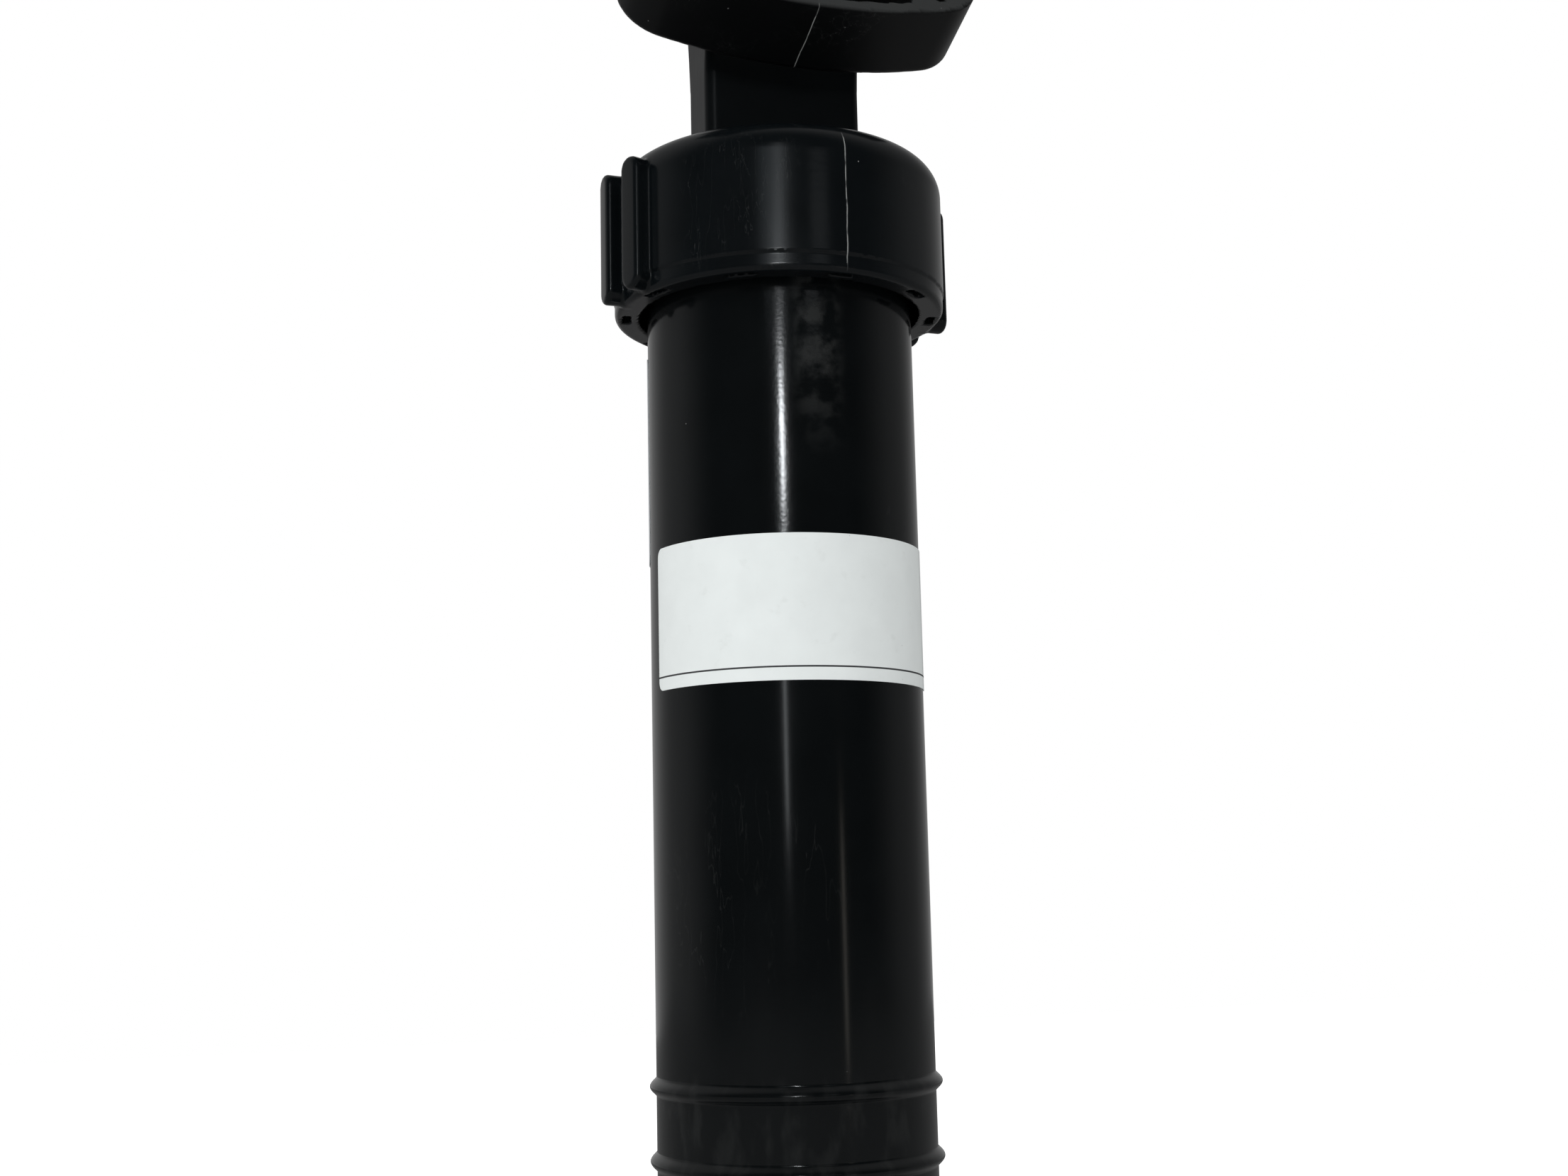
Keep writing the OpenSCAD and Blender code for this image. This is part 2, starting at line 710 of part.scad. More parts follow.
module stroke_spacer() color("#d8d4c4") at_upper_pin()
    ring(rod_r + spacer_gap, spacer_od / 2, gland_top, gland_top + spacer_len);

module rod_gland() color("#dcd8c8") at_upper_pin() difference() {
    rod_z(bore_r - plug_gap, gland_bottom, gland_top);
    rod_z(rod_r + run_gap, gland_bottom - cut, gland_top + cut);
    ring_groove(gland_ring_z);
    ring(rod_r - cut, seal_out_r + fit_gap, seal_low, seal_low + rod_seal_h);
    ring(rod_r - cut, wiper_out_r + fit_gap, gland_bottom - cut, wiper_low + wiper_h);
}

module gland_o_ring() color("#151617") at_upper_pin() bore_ring(gland_ring_z);

// A lip seal with its mouth upwards, between an inner and an outer radius
module lip_seal(r0, r1, low, height) {
    lip = (r1 - r0) / 4;
    floor_z = low + height / 2;
    rotate_extrude() polygon([[r0, low], [r1, low],
                              [r1, low + height - lip / 2], [r1 - lip / 2, low + height],
                              [r1 - lip, low + height - lip / 2], [r1 - 1.5 * lip, floor_z],
                              [r0 + 1.5 * lip, floor_z], [r0 + lip, low + height - lip / 2],
                              [r0 + lip / 2, low + height], [r0, low + height - lip / 2]]);
}

module rod_seal() color("#7a3b2a") at_upper_pin()
    lip_seal(rod_r + run_gap, seal_out_r, seal_low + groove_gap, rod_seal_h - 2 * groove_gap);

module rod_wiper() color("#151617") at_upper_pin() {
    low = wiper_low - wiper_proud;
    rotate_extrude() polygon([[rod_r + run_gap, low],
                              [rod_r + wiper_t / 2, low + wiper_proud / 2],
                              [wiper_out_r, wiper_low], [wiper_out_r, wiper_low + wiper_h - groove_gap],
                              [rod_r + wiper_t / 3, wiper_low + wiper_h - groove_gap],
                              [rod_r + wiper_t / 3, wiper_low + wiper_h / 2],
                              [rod_r + run_gap, wiper_low]]);
}

// An open ring in the tube's groove, with two drilled lugs for pliers
module gland_retaining_ring() color("silver") at_upper_pin() {
    inner = bore_r - retainer_w;
    mid = inner + retainer_w / 2;
    mouth_turn = 16;
    difference() {
        union() {
            ring(inner, bore_r + retainer_bite - groove_gap, retainer_bottom, retainer_top);
            for (side = [-1, 1]) rotate([0, 0, side * mouth_turn - 90])
                translate([mid - retainer_lug_r / 3, 0, retainer_bottom])
                    cylinder(r = retainer_lug_r, h = retainer_t, $fn = 32);
        }
        rotate([0, 0, -90]) translate([0, 0, retainer_bottom - cut]) linear_extrude(retainer_t + 2 * cut)
            polygon([[0, 0], [2 * bore_r * cos(mouth_turn / 2), -2 * bore_r * sin(mouth_turn / 2)],
                     [2 * bore_r * cos(mouth_turn / 2), 2 * bore_r * sin(mouth_turn / 2)]]);
        for (side = [-1, 1]) rotate([0, 0, side * mouth_turn - 90])
            translate([mid - retainer_lug_r / 3, 0, retainer_bottom - cut])
                cylinder(r = retainer_lug_r / 3, h = retainer_t + 2 * cut, $fn = 24);
    }
}

// Pieces that move with the ram

module spring_seat_washer() color("silver") at_upper_pin()
    ring(rod_r + spacer_gap, spring_d / 2 + wire_d, seat_under, piston_under);

module piston_rod() color("#b9bdc2") at_upper_pin() difference() {
    union() {
        rod_z(rod_r, rod_end, piston_under);
        rod_z(spigot_r, piston_under - seat_t, nut_face - stack_gap);
    }
    cross_pin_hole();
}

module cross_pin_hole()
    translate([0, socket_d, cross_z]) rotate([90, 0, 0])
        cylinder(r = cross_pin_d / 2 + fit_gap, h = 2 * socket_d);

module piston() color("#2b2b30") at_upper_pin() difference() {
    rod_z(bore_r - piston_gap, piston_under, piston_top);
    rod_z(spigot_r + fit_gap, piston_under - cut, piston_top + cut);
    ring(wear_in_r - groove_gap, bore_r, wear_low - groove_gap, wear_low + wear_ring_h + groove_gap);
}

module piston_wear_ring() color("#3d5a4a") at_upper_pin() difference() {
    ring(wear_in_r, bore_r - run_gap, wear_low, wear_low + wear_ring_h);
    translate([0, -wear_slot / 2, wear_low - cut]) cube([bore_r + cut, wear_slot, wear_ring_h + 2 * cut]);
}

module piston_cup_seal() color("#151617") at_upper_pin() {
    lip = cup_base_t * cup_lip_share;
    top = piston_top + cup_h;
    out = bore_r - run_gap;
    rotate_extrude() polygon([[spigot_r + fit_gap, piston_top],
                              [out - lip / 4, piston_top], [out - lip / 4, cup_floor],
                              [out, top - lip / 3], [out - lip / 4, top], [out - lip / 2, top - lip / 4],
                              [out - lip, cup_floor], [spigot_r + fit_gap, cup_floor]]);
}

module cup_washer() color("silver") at_upper_pin()
    ring(spigot_r + fit_gap, bore_r - 2 * cup_base_t, cup_floor, cup_washer_top);

module piston_lock_nut() color("#c0c4c8") at_upper_pin() difference() {
    translate([0, 0, cup_washer_top]) cylinder(r = lock_nut_af / sqrt(3), h = lock_nut_h, $fn = 6);
    rod_z(spigot_r + fit_gap, cup_washer_top - cut, nut_face + cut);
}

module rod_eye() color("#2c2e31") at_upper_pin() difference() {
    union() {
        rod_z(socket_d / 2, rod_end - socket_floor, socket_top);
        translate([-rod_eye_w / 2, -eye_r, eye_z]) cube([rod_eye_w, 2 * eye_r, rod_eye_drop]);
        translate([0, 0, eye_z]) rod_x(-rod_eye_w / 2, rod_eye_w / 2, eye_r);
    }
    rod_z(rod_r + fit_gap, rod_end, socket_top + cut);
    translate([0, 0, eye_z]) rod_x(-rod_eye_w, rod_eye_w, bush_hole_r);
    cross_pin_hole();
}

module rod_cross_pin() color("silver") at_upper_pin()
    translate([0, socket_d / 2, cross_z]) rotate([90, 0, 0]) cylinder(r = cross_pin_d / 2, h = socket_d);

module rod_eye_bush() color("ivory") at_lower_pin()
    ring_x(-rod_eye_w / 2, rod_eye_w / 2, bush_r, bush_out_r);

// Pieces on the tab

module bracket_ear() {
    translate([bracket_in, 0, 0]) rotate([90, 0, 90]) linear_extrude(bracket_ear_t) {
        circle(r = ear_r);
        polygon([[-ear_r, 0], [-ear_foot, -bracket_drop - plate_t / 2],
                 [ear_foot, -bracket_drop - plate_t / 2], [ear_r, 0]]);
    }
    toe = bracket_out + gusset_reach;
    translate([0, gusset_t / 2, 0]) rotate([90, 0, 0]) linear_extrude(gusset_t)
        polygon([[bracket_out - cut, -bracket_drop + gusset_reach],
                 [bracket_out, -bracket_drop + gusset_reach], [toe, -bracket_drop],
                 [toe, -bracket_drop - plate_t / 2], [bracket_out - cut, -bracket_drop - plate_t / 2]]);
}

module tab_bracket() color("#26282a") at_lower_pin() difference() {
    union() {
        rounded_bar(plate_w, plate_d, plate_corner_r, -bracket_drop - plate_t, -bracket_drop);
        both_sides() bracket_ear();
    }
    rod_x(-plate_w, plate_w, bush_hole_r);
    both_sides() rod_x(bracket_in - cut, bracket_in + bush_flange_t - flange_proud, flange_r + fit_gap);
    for (x = [-1, 1], y = [-1, 1])
        translate([x * tab_screw_x / 2, y * tab_screw_y / 2, 0])
            rod_z(tab_hole_d / 2, -bracket_drop - plate_t - cut, 0);
}

module bracket_bushes() color("ivory") at_lower_pin() flanged_bushes(bracket_in, bracket_out);

module lower_hinge_pin() color("silver") at_lower_pin() headed_pin(bracket_out);

module lower_pin_clip() color("silver") at_lower_pin() pin_clip(bracket_out);

upper_hinge_base();
ear_bushes();
upper_hinge_pin();
upper_pin_clip();
cylinder_head();
neck_bush();
port_nut();
port_ferrule();
head_o_ring();
thrust_washer();
union_nut();
cylinder_tube();
rating_label();
side_decal();
return_spring();
stroke_spacer();
rod_gland();
gland_o_ring();
rod_seal();
rod_wiper();
gland_retaining_ring();
spring_seat_washer();
piston_rod();
piston();
piston_wear_ring();
piston_cup_seal();
cup_washer();
piston_lock_nut();
rod_eye();
rod_cross_pin();
rod_eye_bush();
tab_bracket();
bracket_bushes();
lower_hinge_pin();
lower_pin_clip();
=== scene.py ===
import json
import math
from types import SimpleNamespace

import bmesh
import bpy
import numpy as np
from bpy.props import FloatProperty, FloatVectorProperty, IntProperty, PointerProperty
from mathutils import Matrix, Vector


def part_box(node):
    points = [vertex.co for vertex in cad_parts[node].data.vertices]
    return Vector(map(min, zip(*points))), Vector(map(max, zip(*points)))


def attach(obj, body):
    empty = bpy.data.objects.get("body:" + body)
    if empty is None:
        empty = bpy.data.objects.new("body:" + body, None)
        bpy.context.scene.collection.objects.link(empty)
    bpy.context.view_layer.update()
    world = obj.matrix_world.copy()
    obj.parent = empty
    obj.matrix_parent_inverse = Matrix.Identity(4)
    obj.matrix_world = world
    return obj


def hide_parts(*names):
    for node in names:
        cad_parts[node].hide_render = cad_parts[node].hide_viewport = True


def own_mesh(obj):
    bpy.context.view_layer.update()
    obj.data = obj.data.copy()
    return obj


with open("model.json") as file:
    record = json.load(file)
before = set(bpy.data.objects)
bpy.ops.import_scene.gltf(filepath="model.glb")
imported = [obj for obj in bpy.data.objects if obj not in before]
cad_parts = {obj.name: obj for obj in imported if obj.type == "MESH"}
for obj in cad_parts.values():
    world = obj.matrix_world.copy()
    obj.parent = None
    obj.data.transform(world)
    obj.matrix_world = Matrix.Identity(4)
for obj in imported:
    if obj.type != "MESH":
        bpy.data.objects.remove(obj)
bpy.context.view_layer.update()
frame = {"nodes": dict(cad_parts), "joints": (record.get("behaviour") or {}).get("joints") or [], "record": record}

bl_info = {
    "name": "Trim Tab Actuator",
    "version": (1, 0, 0),
    "blender": (4, 5, 0),
    "location": "View3D > Sidebar > Actuator",
    "description": "Hydraulic trim tab actuator with its hinge base and tab bracket",
    "category": "Add Mesh",
}

TO_MM = 1000
JOINTS = {joint["name"]: joint for joint in frame["joints"]}
UPPER_PIN = np.array(JOINTS["upper_hinge"]["pos_m"]) * TO_MM
LOWER_PIN = np.array(JOINTS["lower_hinge"]["pos_m"]) * TO_MM
SCREW_MOUNT = next(mount for mount in frame["record"]["mounts"] if mount["name"] == "transom_screws")
LEAN = math.asin(SCREW_MOUNT["axis"][2])


# Sizes and colours that a user would change

def length(label, text, value):
    """A length property whose default is given in millimetres."""
    return FloatProperty(name=label, description=text, default=value / TO_MM, unit="LENGTH", precision=5)


def angle(label, text, degrees):
    return FloatProperty(name=label, description=text, default=math.radians(degrees), subtype="ANGLE")


def colour(label, text, value):
    return FloatVectorProperty(name=label, description=text, default=value, size=3, subtype="COLOR")


def amount(label, text, value):
    return FloatProperty(name=label, description=text, default=value, subtype="FACTOR", min=0, max=1)


def count(label, text, value, least=1):
    return IntProperty(name=label, description=text, default=value, min=least)


def number(label, text, value, unit="NONE"):
    return FloatProperty(name=label, description=text, default=value, unit=unit)


class PinSizes(bpy.types.PropertyGroup):
    """Room for the bushes of the hinge pins"""
    bush_d: length("Bush hole", "Diameter of the holes that take the bushes", 10.04)
    flange_d: length("Flange recess", "Diameter of the recesses for the bush flanges", 15.04)
    flange_sink: length("Flange sink", "Depth of the recesses for the bush flanges", 0.8)


class BaseSizes(bpy.types.PropertyGroup):
    """Hinge base on the transom"""
    width: length("Width", "Width across the base", 65)
    depth: length("Depth", "Transom face to outer face", 15.8)
    drop: length("Drop", "Screw circle's centre down to the lowest point", 28.2)
    rise: length("Rise", "Screw circle's centre up to the top", 42)
    corner_r: length("Corner radius", "Radius of the lower corners", 9.6)
    bottom_r: length("Bottom radius", "Radius of the curved lower edge", 93.4)
    wall: length("Wall", "Outer wall", 2.6)
    web: length("Face", "Thickness of the outer face", 4)
    thin_rib: length("Thin ribs", "Thickness of the thin ribs", 2.21)
    well_w: length("Well", "Width of the well between the ears", 36)
    well_rise: length("Well top", "Screw circle's centre up to the top of the well", 21)
    rib_t: length("Ear ribs", "Thickness of the ear ribs", 5.2)
    ear_in: length("Ear face", "Middle plane to the inner face of an ear", 15.5)
    ear_r: length("Ear radius", "Outer radius of the ears", 9.5)
    pin_u: length("Pin", "Transom face to the pin's axis", 16.3)
    channel_r: length("Pin channel", "Radius of the channels beside the ears", 7.2)
    channel_wall: length("Channel wall", "Wall round the channels", 2.6)
    screw_pcd: length("Screw circle", "Pitch circle diameter of the screws", 61)
    screw_hole: length("Screw hole", "Diameter of the screw holes", 6.6)
    screw_boss: length("Screw boss", "Diameter of the screw bosses", 13)
    face_edge: length("Face edge", "Radius of the edge round the outer face", 1.5)
    rim_edge: length("Rim edge", "Radius of the edges on the transom face", 0.35)
    fillet: length("Fillet", "Radius where ribs and bosses meet the face", 0.8)
    grid: length("Grid", "Size of the mesh's facets", 0.7)


class HeadSizes(bpy.types.PropertyGroup):
    """Cylinder head with its neck and eye"""
    neck_w: length("Neck width", "Width of the neck along the pin", 30)
    neck_t: length("Neck thickness", "Thickness of the neck", 12)
    neck_edge: length("Neck edge", "Radius of the neck's upright edges", 2)
    eye_r: length("Eye", "Outer radius of the eye", 10)
    flare_drop: length("Flare", "Pin axis down to the foot of the flare", 24)
    collar_r: length("Collar", "Radius of the collar in the nut's opening", 17.1)
    collar_proud: length("Collar step", "How far the collar stands above the nut", 0.8)
    flange_top: length("Flange top", "Pin axis down to the flange's upper face", 47.3)
    flange_under: length("Flange underside", "Pin axis down to the tube's end", 51.9)
    flange_r: length("Flange", "Radius of the flange", 25.3)
    plug_r: length("Plug", "Radius of the plug", 18.95)
    plug_end: length("Plug end", "Pin axis down to the plug's lower end", 71.9)
    port_drop: length("Port", "Distance of the port's axis below the pin axis", 13)
    port_boss_r: length("Port boss", "Radius of the port's boss", 7.5)
    port_face: length("Port face", "Pin axis to the port's face, towards the transom", 5.54)
    port_thread: length("Port thread", "Diameter of the port's thread", 10)
    port_deep: length("Port depth", "Depth of the threaded part of the port", 9.6)
    hex_flats: length("Port nut", "Across flats of the port nut", 11)
    line_d: length("Line", "Bore for the hydraulic line", 6.5)
    fillet: length("Fillet", "Radius where the neck meets the collar", 1.2)
    grid: length("Grid", "Size of the mesh's facets", 0.5)


class NutSizes(bpy.types.PropertyGroup):
    """Union nut"""
    radius: length("Radius", "Radius of the nut's body", 30.3)
    top: length("Top", "Pin axis down to the nut's top", 41.8)
    height: length("Height", "Height of the nut", 27.9)
    web: length("Top web", "Thickness of the nut's top", 4.5)
    opening_r: length("Opening", "Radius of the opening round the collar", 17.4)
    shoulder_r: length("Shoulder", "Radius of the top shoulder", 6.3)
    lip_h: length("Lip", "Height of the lip below the mould line", 3.3)
    lip_in: length("Lip draw", "How far the lip draws in at the bottom", 1)
    step: length("Mould step", "Step at the mould line", 0.22)
    root_r: length("Bore", "Radius of the bore at the thread's root", 25.6)
    crest_r: length("Thread crest", "Radius at the thread's crest", 24.3)
    thread_pitch: length("Thread pitch", "Pitch of the thread", 3.2)
    lug_w: length("Lug width", "Width of the grip lugs", 4.6)
    lug_len: length("Lug length", "Length of the grip lugs", 24.1)
    lug_h: length("Lug height", "How far the lugs stand out", 3)
    lug_edge: length("Lug edge", "Radius of the lugs' crest edges", 0.9)
    lug_fillet: length("Lug fillet", "Radius at the lugs' foot", 0.45)
    lug_spread: angle("Lug spread", "Half of the angle between two lugs of a pair", 9)
    turn: angle("Turn", "Turn of the nut when it is tight", 9.5)
    pockets: count("Pockets", "Number of pockets in the bottom face", 10)
    pocket_turn: angle("Pocket turn", "Turn of the pockets from the nut's own front", -6.5)
    pocket_w: length("Pocket width", "Width of a pocket", 4.6)
    pocket_in_r: length("Pocket inner radius", "Radius of a pocket's inner wall", 27.25)
    pocket_t: length("Pocket", "Radial size of a pocket", 1.4)
    pocket_deep: length("Pocket depth", "Depth of a pocket", 3)
    grid: length("Grid", "Size of the mesh's facets", 0.5)


class TubeSizes(bpy.types.PropertyGroup):
    """Cylinder tube"""
    radius: length("Radius", "Outer radius of the tube", 24.15)
    bore_r: length("Bore", "Radius of the bore", 19.05)
    top: length("Top", "Pin axis down to the tube's upper end", 51.9)
    end: length("End", "Pin axis down to the tube's lower end", 242)
    edge: length("Edge", "Radius of the end edges", 0.5)
    thread_r: length("Thread", "Radius at the thread's crest", 25.45)
    thread_rings: count("Thread ridges", "Number of ridges", 4)
    bead_first: length("First bead", "Pin axis down to the first bead", 205.96)
    bead_pitch: length("Bead pitch", "Distance between beads", 12.45)
    bead_r: length("Bead", "Radius of a bead", 1.15)
    bead_fillet: length("Bead fillet", "Radius at a bead's foot", 0.4)
    beads: count("Beads", "Number of beads", 3)
    groove_at: length("Groove", "Pin axis down to the retaining ring's groove", 237.2)
    groove_h: length("Groove height", "Height of the groove", 1.7)
    groove_deep: length("Groove depth", "Depth of the groove", 1.2)


class FilmSizes(bpy.types.PropertyGroup):
    """Bare label and bare decal on the tube"""
    label_h: length("Label height", "Height of the label", 24.9)
    label_len: length("Label length", "Length of the label round the tube", 66.7)
    label_at: length("Label place", "Pin axis down to the label's middle", 126.2)
    label_turn: angle("Label turn", "Direction of the label's middle", -6.7)
    decal_h: length("Decal height", "Height of the decal", 38)
    decal_len: length("Decal length", "Length of the decal round the tube", 26)
    decal_at: length("Decal place", "Pin axis down to the decal's middle", 96)
    decal_turn: angle("Decal turn", "Direction of the decal's middle", -133)
    thickness: length("Film", "Thickness of the films", 0.15)
    corner_r: length("Corner", "Radius of the films' corners", 1.6)
    rule_up: length("Rule height", "Label's lower edge up to its printed rule", 2.3)
    rule_in: length("Rule inset", "Label's right end in to its upright rule", 5.2)
    rule_t: length("Rule", "Thickness of the printed rules", 0.3)


class SpringSizes(bpy.types.PropertyGroup):
    """Return spring"""
    wire: length("Wire", "Diameter of the spring's wire", 3)
    mean_d: length("Mean diameter", "Mean diameter of the spring", 26.8)
    turns: count("Turns", "Number of turns", 13, least=3)
    closed_pitch: length("Closed pitch", "Pitch of the closed end turns", 3.5)


class EyeSizes(bpy.types.PropertyGroup):
    """Rod eye on the ram"""
    width: length("Width", "Width of the eye along the pin", 22)
    eye_r: length("Eye", "Outer radius of the eye", 10)
    socket_r: length("Socket", "Outer radius of the socket", 12)
    rod_r: length("Rod", "Radius of the rod", 7.97)
    rod_up: length("Rod end", "Pin axis up to the rod's end", 14)
    socket_up: length("Socket top", "Pin axis up to the socket's top", 34)
    floor: length("Floor", "Thickness of the socket's floor", 3)
    cross_r: length("Cross pin", "Radius of the cross pin's hole", 2.02)
    edge: length("Edge", "Radius of the edges", 0.6)
    fillet: length("Fillet", "Radius where the socket meets the eye", 1.5)
    grid: length("Grid", "Size of the mesh's facets", 0.5)


class BracketSizes(bpy.types.PropertyGroup):
    """Tab bracket"""
    width: length("Width", "Length of the plate along the pin", 58)
    depth: length("Depth", "Width of the plate", 44)
    thickness: length("Plate", "Thickness of the plate", 6)
    corner_r: length("Corner", "Radius of the plate's corners", 8)
    drop: length("Drop", "Pin axis down to the plate", 14)
    ear_in: length("Ear face", "Middle plane to the inner face of an ear", 11.5)
    ear_t: length("Ear", "Thickness of the ears", 6)
    ear_r: length("Ear radius", "Outer radius of the ears", 9.5)
    ear_foot: length("Ear foot", "Half of an ear's width at the plate", 14.25)
    gusset_t: length("Gusset", "Thickness of the gussets", 4)
    gusset: length("Gusset reach", "Reach of the gussets", 6.7)
    hole_x: length("Holes along", "Distance between the screws along the pin", 42)
    hole_y: length("Holes across", "Distance between the screws across the pin", 28)
    hole_d: length("Screw hole", "Diameter of the screw holes", 5.4)
    edge: length("Edge", "Radius of the edges", 0.6)
    fillet: length("Fillet", "Radius where the ears meet the plate", 1.5)
    grid: length("Grid", "Size of the mesh's facets", 0.6)


class FinishColours(bpy.types.PropertyGroup):
    """Colours and gloss of the finishes"""
    base_black: colour("Base plastic", "Colour of the hinge base and bracket", (0.0030, 0.0034, 0.0038))
    head_black: colour("Head plastic", "Colour of the cylinder head", (0.0026, 0.0036, 0.0042))
    nut_black: colour("Nut plastic", "Colour of the union nut", (0.0026, 0.0038, 0.0046))
    tube_black: colour("Tube plastic", "Colour of the tube", (0.0026, 0.0034, 0.0038))
    label_white: colour("Label", "Colour of the label's film", (0.83, 0.87, 0.86))
    decal_grey: colour("Decal", "Colour of the decal's film", (0.55, 0.57, 0.58))
    ink: colour("Ink", "Colour of the printed rules", (0.012, 0.012, 0.016))
    acetal: colour("Bushes", "Colour of the bushes and gland", (0.78, 0.75, 0.66))
    piston: colour("Piston", "Colour of the piston", (0.04, 0.04, 0.045))
    wear_ring: colour("Wear ring", "Colour of the wear ring", (0.10, 0.22, 0.16))
    rubber: colour("Rubber", "Colour of the seals", (0.012, 0.012, 0.013))
    pin_steel: colour("Pins", "Colour of the pins", (0.60, 0.60, 0.60))
    clip_steel: colour("Clips", "Colour of the clips and washers", (0.52, 0.52, 0.53))
    spring_steel: colour("Spring", "Colour of the spring wire", (0.46, 0.47, 0.49))
    rod_steel: colour("Rod", "Colour of the polished rod", (0.70, 0.70, 0.71))
    brass: colour("Brass", "Colour of the line fitting", (0.72, 0.53, 0.26))
    plastic_shine: amount("Plastic shine", "Specular level of the black plastics", 0.42)


class CameraPlace(bpy.types.PropertyGroup):
    """Camera at the photograph's angle"""
    eye_x: length("Eye X", "Place of the camera", -118.43)
    eye_y: length("Eye Y", "Place of the camera", -308.33)
    eye_z: length("Eye Z", "Place of the camera", -179.47)
    azimuth: angle("Azimuth", "Direction of the camera round the object", -20.08)
    elevation: angle("Elevation", "Height of the camera above the horizon", -8.89)
    roll: angle("Roll", "Roll of the camera", -1.30)
    focal_px: number("Focal length", "Focal length in the photograph's pixels", 2732.7)
    photo_w: count("Width", "Width of the photograph in pixels", 2212)


class StudioLight(bpy.types.PropertyGroup):
    """Lamps, world and floor"""
    key_power: number("Key", "Power of the key lamp", 1.0, unit="POWER")
    cool_power: number("Cool", "Power of the cool lamp", 0.12, unit="POWER")
    soft_power: number("Soft", "Power of the soft lamp on the left", 6.6, unit="POWER")
    second_power: number("Second", "Power of the second lamp", 0.06, unit="POWER")
    warm_power: number("Warm", "Power of the warm strip", 0.04, unit="POWER")
    world_fill: number("World", "Strength of the world's light on the object", 0.62)
    world_gloss: number("Reflected sides", "World in reflections at the sides", 0.24)
    front_gloss: number("Reflected front", "World in reflections in front", 0.02)
    back_gloss: number("Reflected back", "World in reflections behind", 0.40)
    floor_lift: number("Floor lift", "White that the camera sees on the floor", 0.72)
    floor_z: length("Floor", "Height of the floor", -420)
    floor_size: length("Floor size", "Size of the floor", 6000)


GROUPS = {
    "pin_sizes": PinSizes,
    "base_sizes": BaseSizes,
    "head_sizes": HeadSizes,
    "nut_sizes": NutSizes,
    "tube_sizes": TubeSizes,
    "film_sizes": FilmSizes,
    "spring_sizes": SpringSizes,
    "eye_sizes": EyeSizes,
    "bracket_sizes": BracketSizes,
    "finish": FinishColours,
    "camera_place": CameraPlace,
    "studio": StudioLight,
}


def sizes(name):
    """The values of a property group, its lengths in millimetres."""
    group = getattr(bpy.context.scene, name)
    values = {}
    for key in group.__annotations__:
        value = getattr(group, key)
        if group.bl_rna.properties[key].unit == "LENGTH":
            value = round(value * TO_MM, 4)
        values[key] = value
    return SimpleNamespace(**values)


# Shader expressions

class Socket:
    """An output socket that adds Math or Vector Math nodes when it stands in an expression."""

    def __init__(self, finish, link):
        self.finish = finish
        self.link = link

    def __add__(self, other):
        return self.finish.maths("ADD", self, other)

    def __radd__(self, other):
        return self.finish.maths("ADD", other, self)

    def __sub__(self, other):
        return self.finish.maths("SUBTRACT", self, other)

    def __rsub__(self, other):
        return self.finish.maths("SUBTRACT", other, self)

    def __mul__(self, other):
        return self.finish.maths("MULTIPLY", self, other)

    def __rmul__(self, other):
        return self.finish.maths("MULTIPLY", other, self)

    def __truediv__(self, other):
        return self.finish.maths("DIVIDE", self, other)

    def __pow__(self, other):
        return self.finish.maths("POWER", self, other)

    def __abs__(self):
        return self.finish.maths("ABSOLUTE", self)

    def __or__(self, other):
        """The larger of two masks."""
        return self.finish.maths("MAXIMUM", self, other)

    def ramp(self, start, end):
        """0 below start and 1 past end, smooth between them. It falls where start is the larger."""
        inputs = {"Value": self, "From Min": start, "From Max": end}
        return self.finish.node("ShaderNodeMapRange", {"interpolation_type": "SMOOTHSTEP"}, inputs)

    def part(self, axis):
        """One number of a vector."""
        return self.finish.node("ShaderNodeSeparateXYZ", {}, {0: self}, out=axis)


